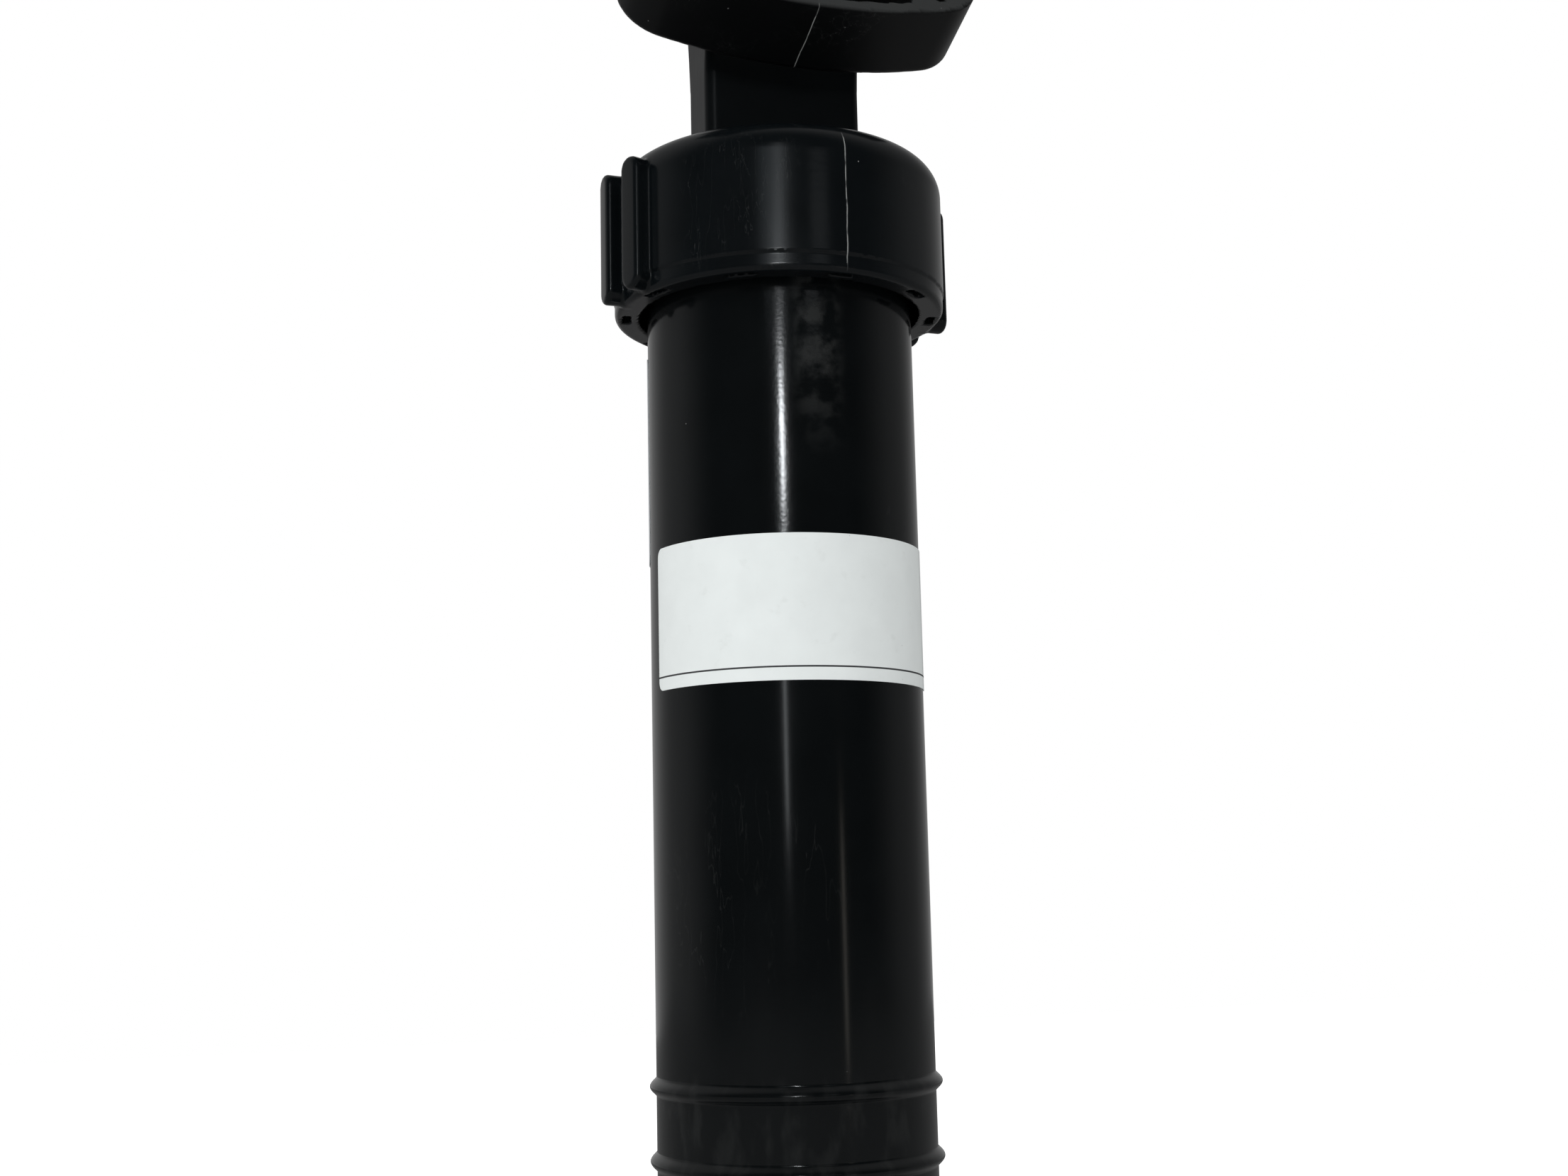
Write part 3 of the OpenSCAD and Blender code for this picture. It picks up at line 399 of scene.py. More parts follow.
class Finish:
    """One material, built from expressions. Sizes in its patterns are in millimetres."""

    def __init__(self, name):
        self.material = bpy.data.materials.new(name + "_finish")
        self.material.use_nodes = True
        self.tree = self.material.node_tree
        self.tree.nodes.clear()
        self.place = self.node("ShaderNodeTexCoord", {}, {}, out="Object") * TO_MM

    def node(self, kind, settings, inputs, out=0):
        """Adds a node: its settings first, then the values or links of its sockets."""
        made = self.tree.nodes.new(kind)
        for key, value in settings.items():
            setattr(made, key, value)
        for key, value in inputs.items():
            if isinstance(value, Socket):
                self.tree.links.new(value.link, made.inputs[key])
            else:
                made.inputs[key].default_value = value
        return Socket(self, made.outputs[out]) if len(made.outputs) else None

    def maths(self, operation, *values):
        """Works out an operation on sockets and numbers, as vectors if one of them is a vector."""
        if any(isinstance(value, Socket) and value.link.type == "VECTOR" for value in values):
            values = [value if isinstance(value, (Socket, tuple)) else (value,) * 3 for value in values]
            return self.node("ShaderNodeVectorMath", {"operation": operation}, dict(enumerate(values)))
        return self.node("ShaderNodeMath", {"operation": operation}, dict(enumerate(values)))

    def noise(self, grain, detail=2, stretch=(1, 1, 1), seed=0):
        """Noise from 0 to 1 with grains of that size. Stretch makes them longer along an axis."""
        scale = tuple(1 / (grain * share) for share in stretch)
        vector = self.place * scale + (seed, seed, seed)
        return self.node("ShaderNodeTexNoise", {}, {"Vector": vector, "Scale": 1, "Detail": detail})

    def specks(self, spacing, radius, share, seed=0):
        """Small round marks, one in each share of the cells of a grid with that spacing."""
        inputs = {"Vector": self.place * (1 / spacing) + (seed, seed, seed), "Scale": 1}
        near = self.node("ShaderNodeTexVoronoi", {}, inputs, out="Distance")
        chance = self.node("ShaderNodeTexVoronoi", {}, inputs, out="Color")
        lucky = self.node("ShaderNodeSeparateColor", {}, {0: chance}).ramp(1 - share, 1 - share * 0.98)
        return near.ramp(radius / spacing, radius / spacing * 0.6) * lucky

    def hairlines(self, length, seed):
        """Thin wandering scratches, as level lines of a long noise, in scattered patches."""
        wave = self.noise(length, detail=3, stretch=(0.16, 0.16, 1), seed=seed)
        line = abs(wave - 0.5).ramp(0.0042, 0.0012)
        patch = self.noise(length * 1.7, detail=1, seed=seed + 7).ramp(0.56, 0.66)
        return line * patch

    def mix(self, share, first, second):
        """A colour between two colours."""
        first = first if isinstance(first, Socket) else (*first, 1)
        second = second if isinstance(second, Socket) else (*second, 1)
        return self.node("ShaderNodeMix", {"data_type": "RGBA"}, {0: share, 6: first, 7: second}, out=2)

    def toned(self, share, tint, dark, light):
        """A colour that drifts between a darker and a lighter tone of a tint."""
        return self.mix(share, *(tuple(part * tone for part in tint) for tone in (dark, light)))

    def drop(self):
        """Distance below the upper pin."""
        return float(UPPER_PIN[2]) - self.place.part(2)

    def turn(self):
        """Direction round the cylinder's axis, in degrees from the boat side."""
        across = self.place.part(0) - float(UPPER_PIN[0])
        outward = float(UPPER_PIN[1]) - self.place.part(1)
        return self.maths("ARCTAN2", across, outward) * math.degrees(1)

    def rays(self):
        """Masks for what the camera sees straight, mirrored and through glass."""
        names = ("Is Camera Ray", "Is Glossy Ray", "Is Transmission Ray")
        return [self.node("ShaderNodeLightPath", {}, {}, out=name) for name in names]

    def bumped(self, height, normal=None):
        """The normal that a height in millimetres gives."""
        inputs = {"Height": height, "Distance": 1 / TO_MM, "Strength": 1}
        if normal:
            inputs["Normal"] = normal
        return self.node("ShaderNodeBump", {}, inputs, out="Normal")

    def soft_edges(self, radius):
        """A normal that rounds the sharp edges of a machined or moulded piece."""
        return self.node("ShaderNodeBevel", {"samples": 6}, {"Radius": radius / TO_MM}, out="Normal")

    def surface(self, base, roughness, normal=None, **fixed):
        """Ends the material in one Principled shader. What is fixed is set on the shader itself."""
        shader = self.tree.nodes.new("ShaderNodeBsdfPrincipled")
        for key, value in {"Base Color": base, "Roughness": roughness, "Normal": normal}.items():
            if isinstance(value, Socket):
                self.tree.links.new(value.link, shader.inputs[key])
            elif value is not None:
                shader.inputs[key].default_value = value
        for key, value in fixed.items():
            shader.inputs[key.replace("_", " ")].default_value = value
        self.node("ShaderNodeOutputMaterial", {}, {0: Socket(self, shader.outputs[0])})
        return self.material


DUST = (0.36, 0.37, 0.36)


def worn_black(finish, tint, cloud, marks):
    """Black plastic whose tone drifts slowly, with pale dust and scratches where marks says."""
    toned = finish.toned(cloud, tint, 0.72, 1.35)
    return finish.mix(marks, toned, DUST)


def base_plastic():
    """Matt moulded plastic of the base and bracket, greyer and rougher on the base's cored side."""
    look = sizes("finish")
    finish = Finish("hinge_plastic")
    cloud = finish.noise(11, detail=3)
    grain = finish.noise(0.34, detail=3)
    out = finish.place.part(1) * math.cos(LEAN) - finish.place.part(2) * math.sin(LEAN)
    up = finish.place.part(1) * math.sin(LEAN) + finish.place.part(2) * math.cos(LEAN)
    rim_start, rim_full = 0.5, -0.1
    rim = out.ramp(rim_start, rim_full)
    seam_left, seam_half, seam_start, seam_full = 0.4, 0.13, -20, -23
    seam = seam_line(finish, finish.place.part(0) + seam_left, seam_half) * up.ramp(seam_start, seam_full)
    dust = finish.specks(3.1, 0.16, 0.3) | finish.specks(5.3, 0.12, 0.5, seed=3)
    rim_dust = finish.specks(1.5, 0.14, 0.35, seed=9) * rim
    marks = dust * 0.35 | finish.hairlines(16, 2) * 0.10 | rim_dust * 0.6 | seam * 0.8
    black = worn_black(finish, look.base_black, cloud, marks)
    grey = finish.mix(cloud, (0.028, 0.030, 0.030), (0.045, 0.047, 0.047))
    base = finish.mix(rim * (1 - rim_dust), black, grey)
    roughness = 0.33 + cloud * 0.10 + rim * 0.20 + marks * 0.2
    shine = look.plastic_shine * 0.7
    height = grain * 0.004 + cloud * 0.02 + seam * 0.07
    return finish.surface(base, roughness, finish.bumped(height), Specular_IOR_Level=shine)


def seam_line(finish, across, half_width):
    """A broken mould line: a mask that is 1 along a wavering line where across is near zero."""
    waver = (finish.noise(5, detail=2, seed=4) - 0.5) * 0.5
    breaks = finish.noise(2.2, detail=3, seed=5).ramp(0.36, 0.52)
    return abs(across + waver).ramp(half_width, half_width * 0.35) * (0.25 + breaks * 0.75)


def head_plastic():
    """Half-gloss moulded plastic of the cylinder head and rod eye."""
    look = sizes("finish")
    finish = Finish("head_plastic")
    cloud = finish.noise(8, detail=3)
    grain = finish.noise(0.3, detail=2)
    streaks = finish.noise(2.4, detail=3, stretch=(0.25, 0.25, 5), seed=2)
    marks = finish.specks(4.1, 0.13, 0.3) * 0.4 | finish.hairlines(13, 6) * 0.12
    base = worn_black(finish, look.head_black, cloud, marks)
    roughness = 0.24 + cloud * 0.08 + streaks * 0.10 + marks * 0.3
    shine = look.plastic_shine * 0.5
    height = grain * 0.0014 + cloud * 0.02
    return finish.surface(base, roughness, finish.bumped(height), Specular_IOR_Level=shine)


def nut_plastic():
    """Glossy moulded plastic of the union nut, with its parting line and faint flow ripples."""
    look = sizes("finish")
    nut = sizes("nut_sizes")
    finish = Finish("nut_plastic")
    cloud = finish.noise(9, detail=2)
    ripple = finish.noise(2.6, detail=2, stretch=(1, 1, 0.6), seed=3)
    grain = finish.noise(0.25, detail=2)
    drop = finish.drop()
    seam_turn, seam_half, seam_start, seam_full = 3.2, 0.14, 2.4, 3.2
    front = finish.turn() - seam_turn
    bottom = nut.top + nut.height
    wall = drop.ramp(nut.top + seam_start, nut.top + seam_full) * drop.ramp(bottom, bottom - nut.lip_h)
    seam = seam_line(finish, front * math.radians(1) * nut.radius, seam_half) * wall
    flow_turn, flow_edge, flow_full = 10, 11, 3
    flow = abs(front + flow_turn).ramp(flow_edge, flow_full)
    marks = finish.specks(4.7, 0.15, 0.3) * 0.6 | finish.hairlines(11, 3) * 0.03 | seam * 0.7
    base = worn_black(finish, look.nut_black, cloud, marks)
    roughness = 0.17 + cloud * 0.06 + marks * 0.3
    height = grain * 0.0006 + ripple * (0.003 + flow * 0.012) + seam * 0.06
    return finish.surface(base, roughness, finish.bumped(height), Specular_IOR_Level=look.plastic_shine)


def tube_plastic():
    """Satin tube with a fine speckled grain, drawn streaks and hazy scuffs below the nut."""
    look = sizes("finish")
    tube = sizes("tube_sizes")
    finish = Finish("tube_plastic")
    drop = finish.drop()
    turn = finish.turn()
    cloud = finish.noise(10, detail=3)
    streaks = finish.noise(2.2, detail=4, stretch=(0.3, 0.3, 12), seed=1)
    speckle = finish.noise(0.7, detail=1, seed=2)
    speckle_end, speckle_full = 150, 100
    above_label = drop.ramp(speckle_end, speckle_full)
    scuff_turn, scuff_edge, scuff_full, scuff_foot, scuff_top = 4, 13, 4, 104, 80
    scuff_patch = abs(turn + scuff_turn).ramp(scuff_edge, scuff_full) * drop.ramp(scuff_foot, scuff_top)
    scuffed = scuff_patch * finish.noise(3.4, detail=4, seed=8).ramp(0.40, 0.66)
    band_lead = 4
    band = drop.ramp(tube.bead_first - band_lead, tube.bead_first)
    band_marks = finish.noise(3, detail=4, stretch=(1, 1, 2.5), seed=6).ramp(0.46, 0.72) * band
    scratches = finish.specks(5.2, 0.12, 0.3) * 0.5 | finish.hairlines(24, 4) * 0.025
    marks = scratches | scuffed * 0.045 | band_marks * 0.018
    base = worn_black(finish, look.tube_black, cloud, marks)
    roughness = 0.10 + streaks * 0.025 + cloud * 0.03 + scuffed * 0.18 + band_marks * 0.05
    height = speckle * (0.0014 + above_label * 0.0056) + streaks * 0.001 + cloud * 0.008
    return finish.surface(base, roughness, finish.bumped(height), Specular_IOR_Level=look.plastic_shine)


def label_film():
    """White paper film, slightly uneven, with a printed rule along its foot and one across its end."""
    look = sizes("finish")
    film = sizes("film_sizes")
    tube = sizes("tube_sizes")
    finish = Finish("label_film")
    drop = finish.drop()
    along = (finish.turn() - math.degrees(film.label_turn)) * math.radians(1) * tube.radius
    foot = film.label_at + film.label_h / 2 - film.rule_up
    end = film.label_len / 2 - film.rule_in
    foot_rule = abs(drop - foot).ramp(film.rule_t * 0.6, film.rule_t * 0.4)
    end_rule_edge, end_rule_full = 0.14, 0.08
    rules = foot_rule | abs(along - end).ramp(end_rule_edge, end_rule_full)
    cloud = finish.noise(6, detail=4)
    fibre = finish.noise(0.35, detail=3, seed=2)
    smudge = finish.noise(2.6, detail=4, seed=5).ramp(0.60, 0.76)
    white = finish.toned(cloud, look.label_white, 0.93, 1.04)
    soil = smudge * 0.10 | finish.specks(3.7, 0.13, 0.3) * 0.5
    soiled = finish.mix(soil, white, (0.42, 0.44, 0.40))
    base = finish.mix(rules * 0.96, soiled, look.ink)
    roughness = 0.46 + cloud * 0.1 + fibre * 0.08
    height = fibre * 0.010 + cloud * 0.05
    return finish.surface(base, roughness, finish.bumped(height), Specular_IOR_Level=0.4)


def decal_film():
    """Pale glossy film, bare of any print."""
    look = sizes("finish")
    finish = Finish("decal_film")
    cloud = finish.noise(5, detail=3)
    scuff = finish.hairlines(9, 8)
    base = finish.toned(cloud, look.decal_grey, 0.9, 1.08)
    worn = finish.mix(scuff * 0.4, base, (0.25, 0.26, 0.26))
    roughness = 0.28 + cloud * 0.12 + scuff * 0.2
    return finish.surface(worn, roughness, finish.bumped(cloud * 0.04), Specular_IOR_Level=0.5)


def steel(name, tint, gloss, grain, stretch, edge):
    """Stainless steel with lines left by its tool, lightly soiled in scattered patches."""
    finish = Finish(name)
    lines = finish.noise(grain, detail=3, stretch=stretch, seed=2)
    cloud = finish.noise(5, detail=3)
    base = finish.toned(cloud, tint, 0.84, 1.1)
    soiled = finish.mix(finish.noise(2.2, detail=4, seed=6).ramp(0.62, 0.8) * 0.35, base, (0.16, 0.15, 0.13))
    roughness = gloss + lines * 0.16 + cloud * 0.06
    normal = finish.bumped(lines * 0.004, finish.soft_edges(edge))
    return finish.surface(soiled, roughness, normal, Metallic=1)


def pin_steel():
    return steel("pin_steel", sizes("finish").pin_steel, 0.16, 0.18, (0.4, 6, 6), 0.25)


def clip_steel():
    return steel("clip_steel", sizes("finish").clip_steel, 0.22, 0.3, (4, 1, 1), 0.2)


def spring_steel():
    return steel("spring_steel", sizes("finish").spring_steel, 0.24, 0.2, (3, 3, 0.5), 0.2)


def rod_steel():
    return steel("rod_steel", sizes("finish").rod_steel, 0.05, 0.12, (8, 8, 0.4), 0.3)


def fitting_brass():
    return steel("fitting_brass", sizes("finish").brass, 0.20, 0.2, (4, 0.6, 4), 0.25)


def bush_plastic():
    """Natural acetal of bushes, washers, spacer and gland."""
    finish = Finish("bush_plastic")
    tint = sizes("finish").acetal
    cloud = finish.noise(5, detail=3)
    tool = finish.noise(0.35, detail=2, stretch=(1, 1, 0.4), seed=3)
    base = finish.toned(cloud, tint, 0.9, 1.05)
    soiled = finish.mix(finish.noise(2.5, detail=4, seed=6).ramp(0.58, 0.8) * 0.3, base, (0.35, 0.31, 0.24))
    normal = finish.bumped(tool * 0.006, finish.soft_edges(0.25))
    return finish.surface(soiled, 0.34 + cloud * 0.12, normal, Specular_IOR_Level=0.45)


def piston_plastic():
    """Turned black plastic of the piston."""
    finish = Finish("piston_plastic")
    tint = sizes("finish").piston
    rings = finish.noise(0.3, detail=2, stretch=(8, 8, 0.5))
    cloud = finish.noise(6, detail=3)
    base = finish.toned(cloud, tint, 0.8, 1.25)
    normal = finish.bumped(rings * 0.008, finish.soft_edges(0.3))
    return finish.surface(base, 0.32 + rings * 0.1, normal, Specular_IOR_Level=0.45)


def wear_plastic():
    """Woven composite of the wear ring."""
    finish = Finish("wear_plastic")
    tint = sizes("finish").wear_ring
    turn = finish.turn() * math.radians(1) * sizes("tube_sizes").bore_r
    threads = 3.1
    weft = finish.maths("SINE", turn * threads)
    warp = finish.maths("SINE", finish.place.part(2) * threads)
    weave = (weft * warp).ramp(-0.8, 0.8)
    base = finish.toned(weave, tint, 0.6, 1.3)
    normal = finish.bumped(weave * 0.03, finish.soft_edges(0.2))
    return finish.surface(base, 0.5 + weave * 0.1, normal, Specular_IOR_Level=0.4)


def seal_rubber():
    """Nitrile rubber of O-rings, seals and wiper."""
    finish = Finish("seal_rubber")
    tint = sizes("finish").rubber
    cloud = finish.noise(3, detail=3)
    grain = finish.noise(0.2, detail=2)
    bloom = finish.noise(1.6, detail=4, seed=4).ramp(0.55, 0.8)
    black = finish.toned(cloud, tint, 0.7, 1.3)
    base = finish.mix(bloom * 0.25, black, (0.10, 0.10, 0.10))
    return finish.surface(base, 0.48 + cloud * 0.12, finish.bumped(grain * 0.01), Specular_IOR_Level=0.45)


MAKERS = {
    "hinge_plastic": base_plastic,
    "head_plastic": head_plastic,
    "nut_plastic": nut_plastic,
    "tube_plastic": tube_plastic,
    "label_film": label_film,
    "decal_film": decal_film,
    "bush_plastic": bush_plastic,
    "piston_plastic": piston_plastic,
    "wear_plastic": wear_plastic,
    "seal_rubber": seal_rubber,
    "pin_steel": pin_steel,
    "clip_steel": clip_steel,
    "spring_steel": spring_steel,
    "rod_steel": rod_steel,
    "fitting_brass": fitting_brass,
}


def finish_of(slot):
    """The material of a slot, made the first time it is asked for."""
    return bpy.data.materials.get(slot + "_finish") or MAKERS[slot]()


# Shapes. Points are in millimetres until piece() takes them

def both(first, second, edge=0):
    """Distance to what two shapes share, with their meeting edge rounded by that radius."""
    outside = np.hypot(np.maximum(first + edge, 0), np.maximum(second + edge, 0))
    return np.minimum(np.maximum(first, second), -edge) + outside


def either(first, second, fillet=0):
    """Distance to two joined shapes, with a fillet of that radius where they meet."""
    inside = np.hypot(np.maximum(fillet - first, 0), np.maximum(fillet - second, 0))
    return np.maximum(np.minimum(first, second), fillet) - inside


def without(first, second, edge=0):
    """Distance to the first shape with the second cut out of it."""
    return both(first, -second, edge)


def slab(value, low, high):
    """Distance to the layer between two values."""
    return np.maximum(low - value, value - high)


def bar(across, along, half_w, half_d, corner):
    """Distance to a rounded rectangle round the origin."""
    x = np.abs(across) - half_w + corner
    y = np.abs(along) - half_d + corner
    return np.hypot(np.maximum(x, 0), np.maximum(y, 0)) + np.minimum(np.maximum(x, y), 0) - corner


def lean(point):
    """Turns row coordinates into the base's own: across, out from the transom, and up along it."""
    x, y, z = point
    return x, y * math.cos(LEAN) - z * math.sin(LEAN), y * math.sin(LEAN) + z * math.cos(LEAN)


def from_pin(point, pin):
    """Turns row coordinates into distances from a hinge pin's middle."""
    return [value - float(pin[axis]) for axis, value in enumerate(point)]


def slope(field, points, step=0.02):
    """The unit direction in which a field rises, at each point."""
    columns = []
    for axis in range(3):
        shift = np.zeros(3)
        shift[axis] = step
        columns.append(field((points + shift).T) - field((points - shift).T))
    rise = np.stack(columns, axis=1)
    return rise / np.maximum(np.linalg.norm(rise, axis=1), 1e-9)[:, None]


def skin(field, low, high, grid):
    """Meshes the surface where a distance field is zero. Returns points, quads and normals."""
    low = np.array(low) - 2 * grid
    counts = np.ceil((np.array(high) + 2 * grid - low) / grid).astype(int) + 1
    ticks = [low[axis] + grid * np.arange(counts[axis]) for axis in range(3)]
    values = np.empty(counts)
    for first in range(0, counts[0], 16):
        block = np.meshgrid(ticks[0][first:first + 16], ticks[1], ticks[2], indexing="ij")
        values[first:first + 16] = field(block)
    strides = np.array([counts[1] * counts[2], counts[2], 1])
    cells, corners = [], []
    for axis in range(3):
        near = np.moveaxis(values, axis, 0)[:-1]
        far = np.moveaxis(values, axis, 0)[1:]
        found = np.argwhere((near > 0) != (far > 0))
        start = near[tuple(found.T)]
        share = start / (start - far[tuple(found.T)])
        places = np.empty_like(found)
        places[:, axis] = found[:, 0]
        others = [other for other in range(3) if other != axis]
        for column, other in enumerate(others):
            places[:, other] = found[:, column + 1]
        crossing = low + grid * places
        crossing[:, axis] += grid * share
        second, third = (axis + 1) % 3, (axis + 2) % 3
        ring = []
        for back_second, back_third in ((0, 0), (1, 0), (1, 1), (0, 1)):
            cell = places.copy()
            cell[:, second] -= back_second
            cell[:, third] -= back_third
            ring.append(cell @ strides)
        ring = np.stack(ring, axis=1)
        ring[start > 0] = ring[start > 0][:, ::-1]
        cells.append(ring)
        corners.append(np.repeat(crossing, 4, axis=0))
    quads = np.concatenate(cells)
    names, index = np.unique(quads.ravel(), return_inverse=True)
    index = index.ravel()
    corners = np.concatenate(corners)
    totals = np.bincount(index, minlength=len(names))
    points = np.stack([np.bincount(index, corners[:, axis]) / totals for axis in range(3)], axis=1)
    normals = slope(field, points)
    for _ in range(4):
        points -= normals * np.clip(field(points.T), -grid, grid)[:, None]
        normals = slope(field, points)
    return points, index.reshape(-1, 4), normals


def braced(outline, margin=0.25):
    """Adds a point near both ends of each long straight, so that the shading stays flat between them."""
    points = []
    for here, after in zip(outline, np.roll(outline, -1, axis=0)):
        way = after - here
        length = np.linalg.norm(way)
        points.append(here)
        if length > 6 * margin:
            points += [here + way * margin / length, after - way * margin / length]
    return np.array(points)


def turned(outline, turns=96):
    """Points and quads of a closed outline of (radius, height) swept once round Z."""
    outline = braced(outline)
    angles = np.arange(turns) * 2 * math.pi / turns
    radius, height = outline[:, 0], outline[:, 1]
    points = np.stack([np.outer(np.sin(angles), radius), -np.outer(np.cos(angles), radius),
                       np.broadcast_to(height, (turns, len(outline)))], axis=2).reshape(-1, 3)
    return points, grid_faces(turns, len(outline), True, True)


def grid_faces(rows, columns, close_rows, close_columns):
    """Quads between neighbours of a table of points."""
    row = np.arange(rows if close_rows else rows - 1)
    column = np.arange(columns if close_columns else columns - 1)
    row, column = [each.ravel() for each in np.meshgrid(row, column, indexing="ij")]
    below, right = (row + 1) % rows, (column + 1) % columns
    return np.stack([row * columns + column, below * columns + column,
                     below * columns + right, row * columns + right], axis=1)


def piece(name, points, faces, slot, body, replaced, normals=None, sharp=32):
    """Makes an object of a mesh in millimetres, finished, riding on its body and shown for its node."""
    mesh = bpy.data.meshes.new(name)
    mesh.from_pydata((points / TO_MM).tolist(), [], [list(face) for face in faces])
    mesh.validate()
    mesh.shade_smooth()
    made = bpy.data.objects.new(name, mesh)
    bpy.context.collection.objects.link(made)
    if normals is None:
        tidy = bmesh.new()
        tidy.from_mesh(mesh)
        bmesh.ops.recalc_face_normals(tidy, faces=tidy.faces)
        tidy.to_mesh(mesh)
        tidy.free()
        mesh.set_sharp_from_angle(angle=math.radians(sharp))
    else:
        mesh.normals_split_custom_set_from_vertices(normals.tolist())
    mesh.materials.append(finish_of(slot))
    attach(made, body)
    for node in replaced:
        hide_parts(node)
    return made


# Forms of the moulded pieces, as distances in millimetres

def base_outline(size, across, up):
    """Distance to the base's outline, drawn in its own plane."""
    arc_v = size.bottom_r - size.drop
    swing = size.bottom_r - size.corner_r
    corner_x = size.width / 2 - size.corner_r
    turn = math.asin(corner_x / swing)
    corner_v = arc_v - swing * math.cos(turn)
    top_v = size.rise - size.width / 2
    foot = np.hypot(across, arc_v - up) - swing
    side = across - corner_x
    corner = np.hypot(across - corner_x, up - corner_v)
    in_corner = (up < corner_v) & (np.arctan2(across, arc_v - up) > turn)
    lower = np.where(in_corner, corner, np.maximum(foot, side)) - size.corner_r
    return np.where(up > top_v, np.hypot(across, up - top_v) - size.width / 2, lower)


def base_form(point):
    """The hinge base: a shell with bosses and ribs, two ears and a well between them."""
    size, pins = sizes("base_sizes"), sizes("pin_sizes")
    x, u, v = lean(point)
    side = np.abs(x)
    plan = base_outline(size, side, v)
    ear_out = size.well_w / 2 + size.rib_t
    round_pin = np.hypot(u - size.pin_u, v)
    block = both(both(plan, u - size.depth, size.face_edge), -u, size.rim_edge)
    side_rib = size.rise - size.width / 2 + size.ear_r
    ribs = np.minimum(slab(side, size.well_w / 2, ear_out), slab(v, side_rib, side_rib + size.thin_rib))
    ribs = np.minimum(ribs, np.maximum(round_pin - size.channel_r - size.channel_wall, ear_out - side))
    ribs = np.minimum(ribs, np.maximum(slab(v, size.well_rise, size.well_rise + size.wall), side - ear_out))
    ribs = np.minimum(ribs, np.maximum(side - size.thin_rib / 2, size.screw_pcd / 2 - v))
    screws = []
    for degrees in (90, 210, 330):
        reach, turn = size.screw_pcd / 2, math.radians(degrees)
        screws.append(np.hypot(x - reach * math.cos(turn), v - reach * math.sin(turn)))
    screws = np.minimum.reduce(screws)
    ribs = np.minimum(ribs, screws - size.screw_boss / 2)
    hollow = both(np.maximum(plan + size.wall, u - size.depth + size.web), -ribs, size.fillet)
    form = without(block, hollow, size.rim_edge)
    well = np.maximum(np.maximum(plan + size.wall, side - size.well_w / 2), v - size.well_rise)
    form = without(form, well, size.rim_edge)
    ears = both(round_pin - size.ear_r, slab(side, size.ear_in, ear_out), size.rim_edge)
    form = either(form, ears, size.fillet)
    form = without(form, np.maximum(round_pin - size.channel_r, ear_out - side), size.rim_edge)
    form = without(form, screws - size.screw_hole / 2, size.rim_edge)
    form = without(form, round_pin - pins.bush_d / 2)
    sink = np.maximum(round_pin - pins.flange_d / 2, side - size.ear_in - pins.flange_sink)
    return without(form, sink)


def head_form(point):
    """The cylinder head: plug, flange and collar, and the neck that ends in the eye."""
    size, pins = sizes("head_sizes"), sizes("pin_sizes")
    x, y, z = from_pin(point, UPPER_PIN)
    across, out, up = lean((x, y, z))
    rho = np.hypot(x, y)
    round_pin = np.hypot(y, z)
    eye = round_pin - size.eye_r
    foot = size.neck_t / 2 - size.neck_edge
    eye_share, under_eye, flare_fillet, plate_fillet = 0.96, 2, 0.8, 2
    taper = (size.eye_r * eye_share - foot) / (size.flare_drop - under_eye)
    flank = np.abs(y) - foot - (z + size.flare_drop) * taper
    flare = np.maximum(flank, slab(z, -size.flare_drop, -under_eye))
    plate = np.maximum(np.abs(y) - size.neck_t / 2, slab(z, -size.flange_top, -under_eye))
    outline = either(either(eye, flare, flare_fillet), plate, plate_fillet)
    form = both(outline, np.abs(x) - size.neck_w / 2, size.neck_edge)
    form = np.maximum(form, -size.flange_top - z)
    edge, collar_edge, groove_edge = 0.3, 0.4, 0.2
    collar_top = size.collar_proud - sizes("nut_sizes").top
    collar = both(rho - size.collar_r, slab(z, -size.flange_under, collar_top), collar_edge)
    form = either(form, collar, size.fillet)
    flange = both(rho - size.flange_r, slab(z, -size.flange_under, -size.flange_top), edge)
    lead_in, inner_fillet = 1, 0.4
    plug = both(rho - size.plug_r, slab(z, -size.plug_end, -size.flange_top), lead_in)
    groove_share, groove_deep, groove_half = 0.4, 2.56, 1.8
    groove_at = size.flange_under * (1 - groove_share) + size.plug_end * groove_share
    groove = np.maximum(size.plug_r - rho - groove_deep, np.abs(z + groove_at) - groove_half)
    grooved = without(plug, groove, groove_edge)
    form = either(form, either(flange, grooved, inner_fillet), inner_fillet)
    round_port = np.hypot(across, up + size.port_drop)
    boss_in, boss_fillet, hex_play, line_past = 3, 1, 0.4, 4
    boss = np.maximum(round_port - size.port_boss_r, slab(out, -size.port_face, boss_in))
    form = either(form, boss, boss_fillet)
    face = out + size.port_face
    form = without(form, np.maximum(round_port - size.hex_flats / math.sqrt(3) - hex_play, face))
    form = without(form, np.maximum(round_port - size.port_thread / 2, face - size.port_deep))
    form = without(form, np.maximum(round_port - size.line_d / 2, face - size.port_deep - line_past))
    drilling_r, drilling_short = 1.6, 2
    form = without(form, np.maximum(rho - drilling_r, z + size.port_drop + drilling_short))
    return without(form, round_pin - pins.bush_d / 2, edge)


